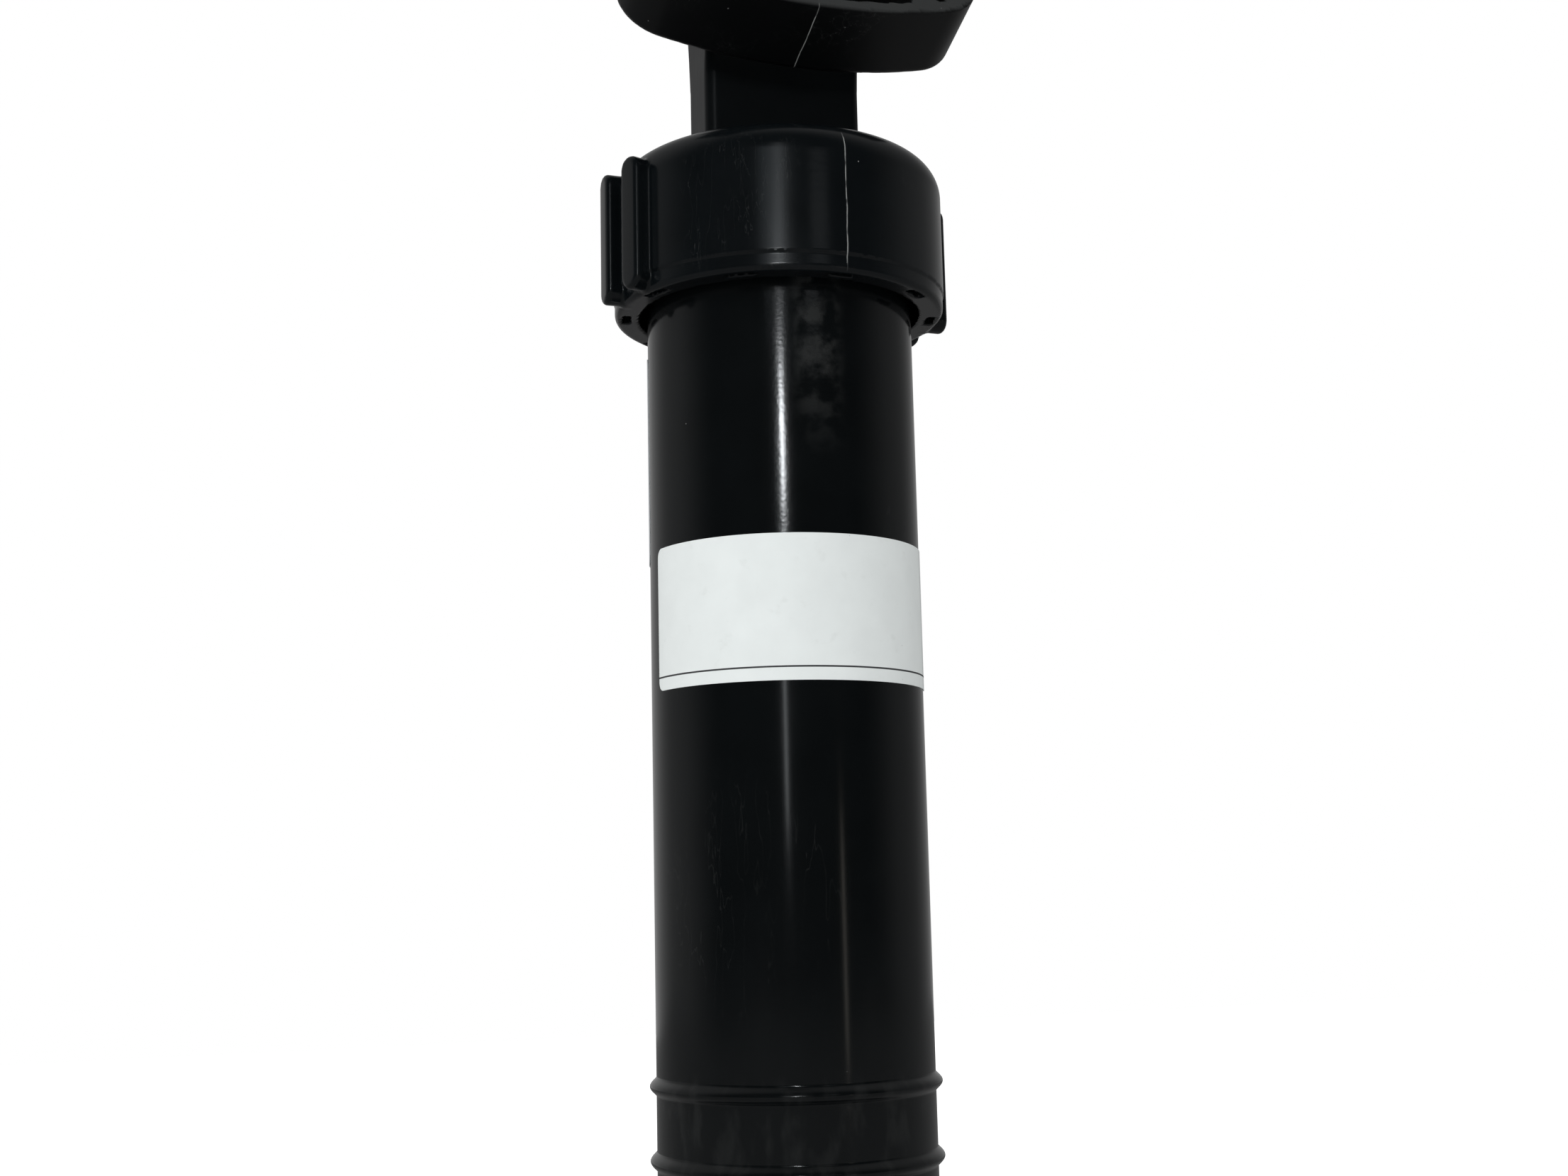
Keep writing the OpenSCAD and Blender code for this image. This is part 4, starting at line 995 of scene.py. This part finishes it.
def nut_form(point):
    """The union nut: shoulder, lip, grip lugs, pockets and the ridges of its thread."""
    size = sizes("nut_sizes")
    x, y, z = from_pin(point, UPPER_PIN)
    rho = np.hypot(x, y)
    turn = np.arctan2(x, -y)
    bottom = -size.top - size.height
    step_h, lug_root, pocket_corner, pocket_edge, bore_edge, top_edge = 0.25, 2, 0.3, 0.25, 0.2, 0.3
    step = np.clip((bottom + size.lip_h - z) / step_h, 0, 1) * size.step
    form = both(both(rho - size.radius + step, z + size.top, size.shoulder_r), bottom - z, size.lip_in)
    middle = bottom + size.lug_len / 2 + size.lip_in / 4
    half = size.lug_len / 2 - size.lug_w / 2
    for degrees in (-90, 90):
        for side in (-1, 1):
            at = size.turn + math.radians(degrees) + side * size.lug_spread
            along = (np.mod(turn - at + math.pi, 2 * math.pi) - math.pi) * size.radius
            oval = np.hypot(along, np.maximum(np.abs(z - middle) - half, 0)) - size.lug_w / 2
            lug = both(oval, slab(rho, size.root_r + lug_root, size.radius + size.lug_h), size.lug_edge)
            form = either(form, lug, size.lug_fillet)
    pitch = 2 * math.pi / size.pockets
    local = np.mod(turn - size.turn - size.pocket_turn + pitch / 2, pitch) - pitch / 2
    radial = slab(rho * np.cos(local), size.pocket_in_r, size.pocket_in_r + size.pocket_t)
    pocket = both(radial, np.abs(rho * np.sin(local)) - size.pocket_w / 2, pocket_corner)
    form = without(form, np.maximum(pocket, z - bottom - size.pocket_deep), pocket_edge)
    ridge = np.abs(np.mod(z - bottom - size.lip_h, size.thread_pitch) / size.thread_pitch - 0.5)
    ridge_share, flank_share, thread_top = 0.26, 0.1, 10
    deep = np.clip((ridge_share - ridge) / flank_share, 0, 1) * (size.root_r - size.crest_r)
    threaded = (z > bottom + size.lip_h) & (z < -size.top - thread_top)
    bore = np.maximum(rho - size.root_r + np.where(threaded, deep, 0), z + size.top + size.web)
    form = without(form, bore, bore_edge)
    return without(form, rho - size.opening_r, top_edge)


def eye_form(point):
    """The rod eye: a socket for the rod, joined to the eye of the lower hinge."""
    size, pins = sizes("eye_sizes"), sizes("pin_sizes")
    x, y, z = from_pin(point, LOWER_PIN)
    rho = np.hypot(x, y)
    eye = np.minimum(np.hypot(y, z), np.where(z > 0, np.abs(y), np.inf)) - size.eye_r
    eye = both(eye, np.maximum(np.abs(x) - size.width / 2, z - size.rod_up), size.edge)
    socket = both(rho - size.socket_r, slab(z, size.rod_up - size.floor, size.socket_up), size.edge)
    form = either(eye, socket, size.fillet)
    mouth_edge, cross_edge, eye_edge = 0.4, 0.2, 0.3
    form = without(form, np.maximum(rho - size.rod_r, size.rod_up - z), mouth_edge)
    cross = np.hypot(x, z - size.socket_up + (size.socket_up - size.rod_up) / 2)
    form = without(form, cross - size.cross_r, cross_edge)
    return without(form, np.hypot(y, z) - pins.bush_d / 2, eye_edge)


def bracket_form(point):
    """The tab bracket: a plate with two ears and a gusset outside each."""
    size, pins = sizes("bracket_sizes"), sizes("pin_sizes")
    x, y, z = from_pin(point, LOWER_PIN)
    side = np.abs(x)
    ear_out = size.ear_in + size.ear_t
    plate = both(bar(x, y, size.width / 2, size.depth / 2, size.corner_r),
                 slab(z, -size.drop - size.thickness, -size.drop), size.edge)
    spread, fall = size.ear_foot - size.ear_r, size.drop + size.thickness / 2
    slant = np.abs(y) - size.ear_r + z * spread / fall
    cheek = np.maximum(slant * fall / np.hypot(spread, fall), slab(z, -fall, 0))
    cheek = np.minimum(cheek, np.hypot(y, z) - size.ear_r)
    ears = both(cheek, slab(side, size.ear_in, ear_out), size.edge)
    slope_off = (side - ear_out + z + size.drop - size.gusset) / math.sqrt(2)
    gusset = np.maximum(np.maximum(slope_off, ear_out - size.ear_t / 3 - side), -fall - z)
    gusset = both(gusset, np.abs(y) - size.gusset_t / 2, size.edge)
    form = either(either(plate, ears, size.fillet), gusset, size.edge)
    holes = np.hypot(side - size.hole_x / 2, np.abs(y) - size.hole_y / 2) - size.hole_d / 2
    hole_edge, bush_edge = 0.3, 0.2
    form = without(form, holes, hole_edge)
    form = without(form, np.hypot(y, z) - pins.bush_d / 2, bush_edge)
    sink = np.maximum(np.hypot(y, z) - pins.flange_d / 2, side - size.ear_in - pins.flange_sink)
    return without(form, sink)


def moulded(name, form, grid, slot, body):
    """Meshes one moulded piece and shows it in place of its node."""
    low, high = [np.array(corner) * TO_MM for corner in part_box(name)]
    points, faces, normals = skin(form, low, high, grid)
    return piece(name + "_moulding", points, faces, slot, body, [name], normals=normals)


# Turned and wound pieces

def tube_outline(size):
    """The tube's section: threads at its top, beads near its foot and the groove in its bore."""
    top_edge, mouth_edge, crest_half, foot_half = 0.4, 0.3, 0.36, 0.72
    outer = [(size.radius, -size.top - top_edge)]
    pitch = sizes("nut_sizes").thread_pitch
    for ring in range(size.thread_rings):
        level = -size.top - pitch * (ring + 0.5)
        outer += [(size.radius, level + foot_half), (size.thread_r, level + crest_half),
                  (size.thread_r, level - crest_half), (size.radius, level - foot_half)]
    fullness = 0.62
    for bead in range(size.beads):
        level = -size.bead_first - bead * size.bead_pitch
        for share in np.linspace(1, -1, 21):
            swell = (0.5 + 0.5 * math.cos(math.pi * share)) ** fullness
            reach = size.bead_r + size.bead_fillet
            outer.append((size.radius + size.bead_r * swell, level + share * reach))
    arc_share = 0.29
    for inward_share, up_share in ((0, 1), (arc_share, arc_share), (1, 0)):
        outer.append((size.radius - size.edge * inward_share, -size.end + size.edge * up_share))
    groove = -size.groove_at
    half = size.groove_h / 2
    groove_r = size.bore_r + size.groove_deep
    inner = [(size.bore_r + size.edge, -size.end), (size.bore_r, -size.end + size.edge),
             (size.bore_r, groove - half), (groove_r, groove - half),
             (groove_r, groove + half), (size.bore_r, groove + half),
             (size.bore_r, -size.top - mouth_edge), (size.bore_r + mouth_edge, -size.top),
             (size.radius - top_edge, -size.top)]
    return np.array(outer + inner)


def film_mesh(radius, thickness, height, extent, middle, turn, corner):
    """A curved film with rounded corners, wrapped round the tube."""
    levels = np.concatenate([height / 2 - corner * (1 - np.cos(np.linspace(0, math.pi / 2, 9))),
                             -height / 2 + corner * (1 - np.cos(np.linspace(math.pi / 2, 0, 9)))])
    edge = np.clip(height / 2 - np.abs(levels), 0, corner)
    halves = extent / 2 - corner + np.sqrt(corner ** 2 - (corner - edge) ** 2)
    shares = np.linspace(-1, 1, 73)
    rows = []
    for level, half in zip(levels, halves):
        angles = turn + shares * half / radius
        outer = np.stack([np.sin(angles), -np.cos(angles)], axis=1) * (radius + thickness)
        inner = np.stack([np.sin(angles), -np.cos(angles)], axis=1)[::-1] * radius
        loop = np.concatenate([outer, inner])
        rows.append(np.column_stack([loop, np.full(len(loop), level - middle)]))
    points = np.concatenate(rows)
    columns = len(rows[0])
    faces = grid_faces(len(rows), columns, False, True).tolist()
    last = (len(rows) - 1) * columns
    for start in (0, last):
        for index in range(len(shares) - 1):
            left, right = start + index, start + columns - 1 - index
            faces.append([left, left + 1, right - 1, right])
    return points, faces


def spring_mesh(size, low, high):
    """Round wire wound into closed end turns and even working turns."""
    times = np.linspace(0, size.turns, size.turns * 40 + 1)
    rise = np.interp(times, [0, 1, size.turns - 1, size.turns],
                     [low, low + size.closed_pitch, high - size.closed_pitch, high])
    climb = np.gradient(rise, times) / (math.pi * size.mean_d)
    sides = 12
    rows = []
    for time, level, lift in zip(times, rise, climb):
        turn = 2 * math.pi * time
        outward = np.array([math.cos(turn), math.sin(turn), 0])
        upward = np.array([lift * math.sin(turn), -lift * math.cos(turn), 1]) / math.hypot(1, lift)
        centre = outward * size.mean_d / 2 + (0, 0, level)
        angles = np.arange(sides) * 2 * math.pi / sides
        ring = np.outer(np.cos(angles), outward) + np.outer(np.sin(angles), upward)
        rows.append(centre + size.wire / 2 * ring)
    faces = grid_faces(len(rows), sides, False, True).tolist()
    faces.append(list(range(sides)))
    faces.append([len(rows) * sides - 1 - index for index in range(sides)])
    return np.concatenate(rows), faces


# Operators

class BuildHingeBase(bpy.types.Operator):
    """Mould the hinge base with its ears, bosses, ribs and well"""
    bl_idname = "actuator.hinge_base"
    bl_label = "Hinge base"

    def execute(self, context):
        moulded("upper_hinge_base", base_form, sizes("base_sizes").grid, "hinge_plastic", "transom_base")
        return {"FINISHED"}


class BuildCylinderHead(bpy.types.Operator):
    """Mould the cylinder head with its neck, eye and line port"""
    bl_idname = "actuator.cylinder_head"
    bl_label = "Cylinder head"

    def execute(self, context):
        moulded("cylinder_head", head_form, sizes("head_sizes").grid, "head_plastic", "cylinder")
        return {"FINISHED"}


class BuildUnionNut(bpy.types.Operator):
    """Mould the union nut with its grip lugs, lip and pockets"""
    bl_idname = "actuator.union_nut"
    bl_label = "Union nut"

    def execute(self, context):
        moulded("union_nut", nut_form, sizes("nut_sizes").grid, "nut_plastic", "cylinder")
        return {"FINISHED"}


class BuildTube(bpy.types.Operator):
    """Turn the cylinder tube with its thread and beads"""
    bl_idname = "actuator.tube"
    bl_label = "Cylinder tube"

    def execute(self, context):
        points, faces = turned(tube_outline(sizes("tube_sizes")), turns=160)
        piece("cylinder_tube_wall", points + UPPER_PIN, faces, "tube_plastic", "cylinder",
              ["cylinder_tube"], sharp=50)
        return {"FINISHED"}


class BuildFilms(bpy.types.Operator):
    """Lay the bare label and the bare decal on the tube"""
    bl_idname = "actuator.films"
    bl_label = "Label and decal"

    def execute(self, context):
        film = sizes("film_sizes")
        label = (film.label_h, film.label_len, film.label_at, film.label_turn)
        decal = (film.decal_h, film.decal_len, film.decal_at, film.decal_turn)
        glue = 0.02
        radius = sizes("tube_sizes").radius + glue
        wraps = (("rating_label", "label_film", label), ("side_decal", "decal_film", decal))
        for node, slot, measures in wraps:
            points, faces = film_mesh(radius, film.thickness, *measures, film.corner_r)
            piece(node + "_film", points + UPPER_PIN, faces, slot, "cylinder", [node])
        return {"FINISHED"}


class BuildSpring(bpy.types.Operator):
    """Wind the return spring, which the ram's slide squeezes"""
    bl_idname = "actuator.spring"
    bl_label = "Return spring"

    def execute(self, context):
        size = sizes("spring_sizes")
        low, high = [corner.z * TO_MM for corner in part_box("return_spring")]
        inset = size.wire / 2
        points, faces = spring_mesh(size, low + inset, high - inset)
        made = piece("return_spring_wire", points + (*UPPER_PIN[:2], 0), faces, "spring_steel", "cylinder",
                     ["return_spring"])
        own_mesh(made)
        return {"FINISHED"}


class BuildRodEye(bpy.types.Operator):
    """Mould the rod eye at the ram's lower end"""
    bl_idname = "actuator.rod_eye"
    bl_label = "Rod eye"

    def execute(self, context):
        moulded("rod_eye", eye_form, sizes("eye_sizes").grid, "head_plastic", "ram")
        return {"FINISHED"}


class BuildTabBracket(bpy.types.Operator):
    """Mould the bracket that is screwed to the tab"""
    bl_idname = "actuator.tab_bracket"
    bl_label = "Tab bracket"

    def execute(self, context):
        moulded("tab_bracket", bracket_form, sizes("bracket_sizes").grid, "hinge_plastic", "tab_hinge")
        return {"FINISHED"}


class FinishTurnedParts(bpy.types.Operator):
    """Give the pins, bushes, seals, ram and fittings their finishes"""
    bl_idname = "actuator.turned_parts"
    bl_label = "Pins, bushes, seals and ram"

    def execute(self, context):
        for part in frame["record"]["subparts"]:
            node = frame["nodes"][part["node"]]
            material = finish_of(part["material_slot"])
            node.data.materials.clear()
            node.data.materials.append(material)
        return {"FINISHED"}


# Stage

def place_camera():
    """Sets the camera at the photograph's place, angle and focal length."""
    view = sizes("camera_place")
    eye = Vector((view.eye_x, view.eye_y, view.eye_z)) / TO_MM
    sensor = 36
    sin_a, cos_a = math.sin(view.azimuth), math.cos(view.azimuth)
    sin_e, cos_e = math.sin(view.elevation), math.cos(view.elevation)
    back = Vector((sin_a * cos_e, -cos_a * cos_e, sin_e))
    right = Vector((cos_a, sin_a, 0))
    up = back.cross(right)
    turned_right = right * math.cos(view.roll) + up * math.sin(view.roll)
    turned_up = up * math.cos(view.roll) - right * math.sin(view.roll)
    data = bpy.data.cameras.new("camera")
    data.sensor_fit = "HORIZONTAL"
    data.sensor_width = sensor
    data.lens = view.focal_px / view.photo_w * sensor
    data.clip_start = 0.01
    data.clip_end = 50
    camera = bpy.data.objects.new("camera", data)
    bpy.context.collection.objects.link(camera)
    turned = Matrix((turned_right, turned_up, back)).transposed().to_4x4()
    camera.matrix_world = Matrix.Translation(eye) @ turned
    bpy.context.scene.camera = camera


LAMP_TARGET = Vector((0, 0.015, -0.10))


def lamp(name, azimuth, elevation, distance, width, height, watts, tint):
    """A rectangular lamp that faces the cylinder. Directions are in degrees and lengths in metres."""
    turn, rise = math.radians(azimuth), math.radians(elevation)
    way = Vector((math.sin(turn) * math.cos(rise), -math.cos(turn) * math.cos(rise), math.sin(rise)))
    data = bpy.data.lights.new(name, "AREA")
    data.shape = "RECTANGLE"
    data.size = width
    data.size_y = height
    data.energy = watts
    data.color = tint
    made = bpy.data.objects.new(name, data)
    bpy.context.collection.objects.link(made)
    made.location = LAMP_TARGET + way * distance
    made.rotation_euler = way.to_track_quat("Z", "Y").to_euler()
    return made


class Surroundings(Finish):
    """The world's nodes, built as a finish is."""

    def __init__(self, world):
        world.use_nodes = True
        self.tree = world.node_tree
        self.tree.nodes.clear()
        self.place = self.node("ShaderNodeTexCoord", {}, {}, out="Generated")


def light_world(studio):
    """White behind the object, plain light on it, and a darker front and right in its reflections."""
    world = bpy.data.worlds.new("studio")
    bpy.context.scene.world = world
    sky = Surroundings(world)
    front_x, front_y, right_shade = -0.30, -0.94, 0.35
    facing = sky.place.part(1) * front_y + sky.place.part(0) * front_x
    front, behind = facing.ramp(-0.2, 0.5), facing.ramp(-0.45, -0.95)
    right = sky.place.part(0).ramp(0.3, 0.9)
    gloss = studio.world_gloss * (1 - front) + studio.front_gloss * front
    gloss = gloss * (1 - behind) + studio.back_gloss * behind
    gloss = gloss * (1 - right * right_shade)
    camera, glossy, through = sky.rays()
    seen = camera | through
    strength = studio.world_fill * (1 - (seen | glossy)) + seen + glossy * gloss
    light = sky.node("ShaderNodeBackground", {}, {0: (1, 1, 1, 1), 1: strength})
    sky.node("ShaderNodeOutputWorld", {}, {0: light})


def floor_finish(studio):
    """Pale floor that melts into the white background and keeps a faint shadow."""
    finish = Finish("floor_paint")
    tone = finish.noise(260, detail=2)
    pale = finish.mix(tone, (0.84, 0.84, 0.84), (0.88, 0.88, 0.88))
    camera, glossy, through = finish.rays()
    mirror_share = 0.4
    plain = finish.node("ShaderNodeBsdfDiffuse", {}, {"Color": pale})
    glow = finish.node("ShaderNodeEmission", {}, {"Strength": (camera | through) * studio.floor_lift})
    lifted = finish.node("ShaderNodeAddShader", {}, {0: plain, 1: glow})
    mirrored = finish.node("ShaderNodeEmission", {}, {"Strength": studio.back_gloss * mirror_share})
    shown = finish.node("ShaderNodeMixShader", {}, {0: glossy, 1: lifted, 2: mirrored})
    finish.node("ShaderNodeOutputMaterial", {}, {0: shown})
    return finish.material


class BuildStage(bpy.types.Operator):
    """Set up the camera, lamps, world and floor"""
    bl_idname = "actuator.stage"
    bl_label = "Stage"

    def execute(self, context):
        studio = sizes("studio")
        context.scene.view_settings.view_transform = "Standard"
        place_camera()
        daylight, strip_share = (0.93, 0.97, 1), 0.11
        lamp("key_strip", -19.8, 12.9, 1.2, 0.058, 0.085, studio.key_power, daylight)
        lamp("high_strip", -18.0, 28, 1.2, 0.08, 0.40, studio.key_power * strip_share, daylight)
        lamp("low_strip", -22.2, 3, 1.2, 0.05, 0.18, studio.key_power * strip_share, daylight)
        lamp("cool_window", -23, 22, 1.5, 0.42, 0.16, studio.cool_power, (0.80, 0.92, 1))
        soft = lamp("soft_left", -55, 25, 1.5, 0.8, 0.8, studio.soft_power, (1, 1, 1))
        soft.visible_glossy = False
        lamp("second_window", 8.5, 20, 1.5, 0.28, 0.12, studio.second_power, (0.92, 0.96, 1))
        lamp("warm_strip", 22, -5, 1.4, 0.05, 0.2, studio.warm_power, (1, 0.93, 0.84))
        light_world(studio)
        half = studio.floor_size / 2 / TO_MM
        mesh = bpy.data.meshes.new("floor")
        level = studio.floor_z / TO_MM
        corners = [(x * half, y * half, level) for x, y in ((-1, -1), (1, -1), (1, 1), (-1, 1))]
        mesh.from_pydata(corners, [], [(0, 1, 2, 3)])
        mesh.materials.append(floor_finish(studio))
        floor = bpy.data.objects.new("floor", mesh)
        context.collection.objects.link(floor)
        return {"FINISHED"}


BUILDERS = (
    BuildHingeBase,
    BuildCylinderHead,
    BuildUnionNut,
    BuildTube,
    BuildFilms,
    BuildSpring,
    BuildRodEye,
    BuildTabBracket,
    FinishTurnedParts,
    BuildStage,
)


class ActuatorPanel(bpy.types.Panel):
    """Lists the actuator's pieces"""
    bl_idname = "VIEW3D_PT_actuator"
    bl_label = "Trim Tab Actuator"
    bl_space_type = "VIEW_3D"
    bl_region_type = "UI"
    bl_category = "Actuator"

    def draw(self, context):
        column = self.layout.column(align=True)
        for builder in BUILDERS:
            column.operator(builder.bl_idname)
        for name, group in GROUPS.items():
            box = self.layout.box()
            box.label(text=group.__doc__)
            for key in group.__annotations__:
                box.prop(getattr(context.scene, name), key)


def register():
    for group in (*GROUPS.values(), *BUILDERS, ActuatorPanel):
        bpy.utils.register_class(group)
    for name, group in GROUPS.items():
        setattr(bpy.types.Scene, name, PointerProperty(type=group))


def unregister():
    for name in GROUPS:
        delattr(bpy.types.Scene, name)
    for group in reversed((*GROUPS.values(), *BUILDERS, ActuatorPanel)):
        bpy.utils.unregister_class(group)


def main():
    register()
    for builder in BUILDERS:
        area, name = builder.bl_idname.split(".")
        getattr(getattr(bpy.ops, area), name)()


if __name__ == "__main__":
    main()
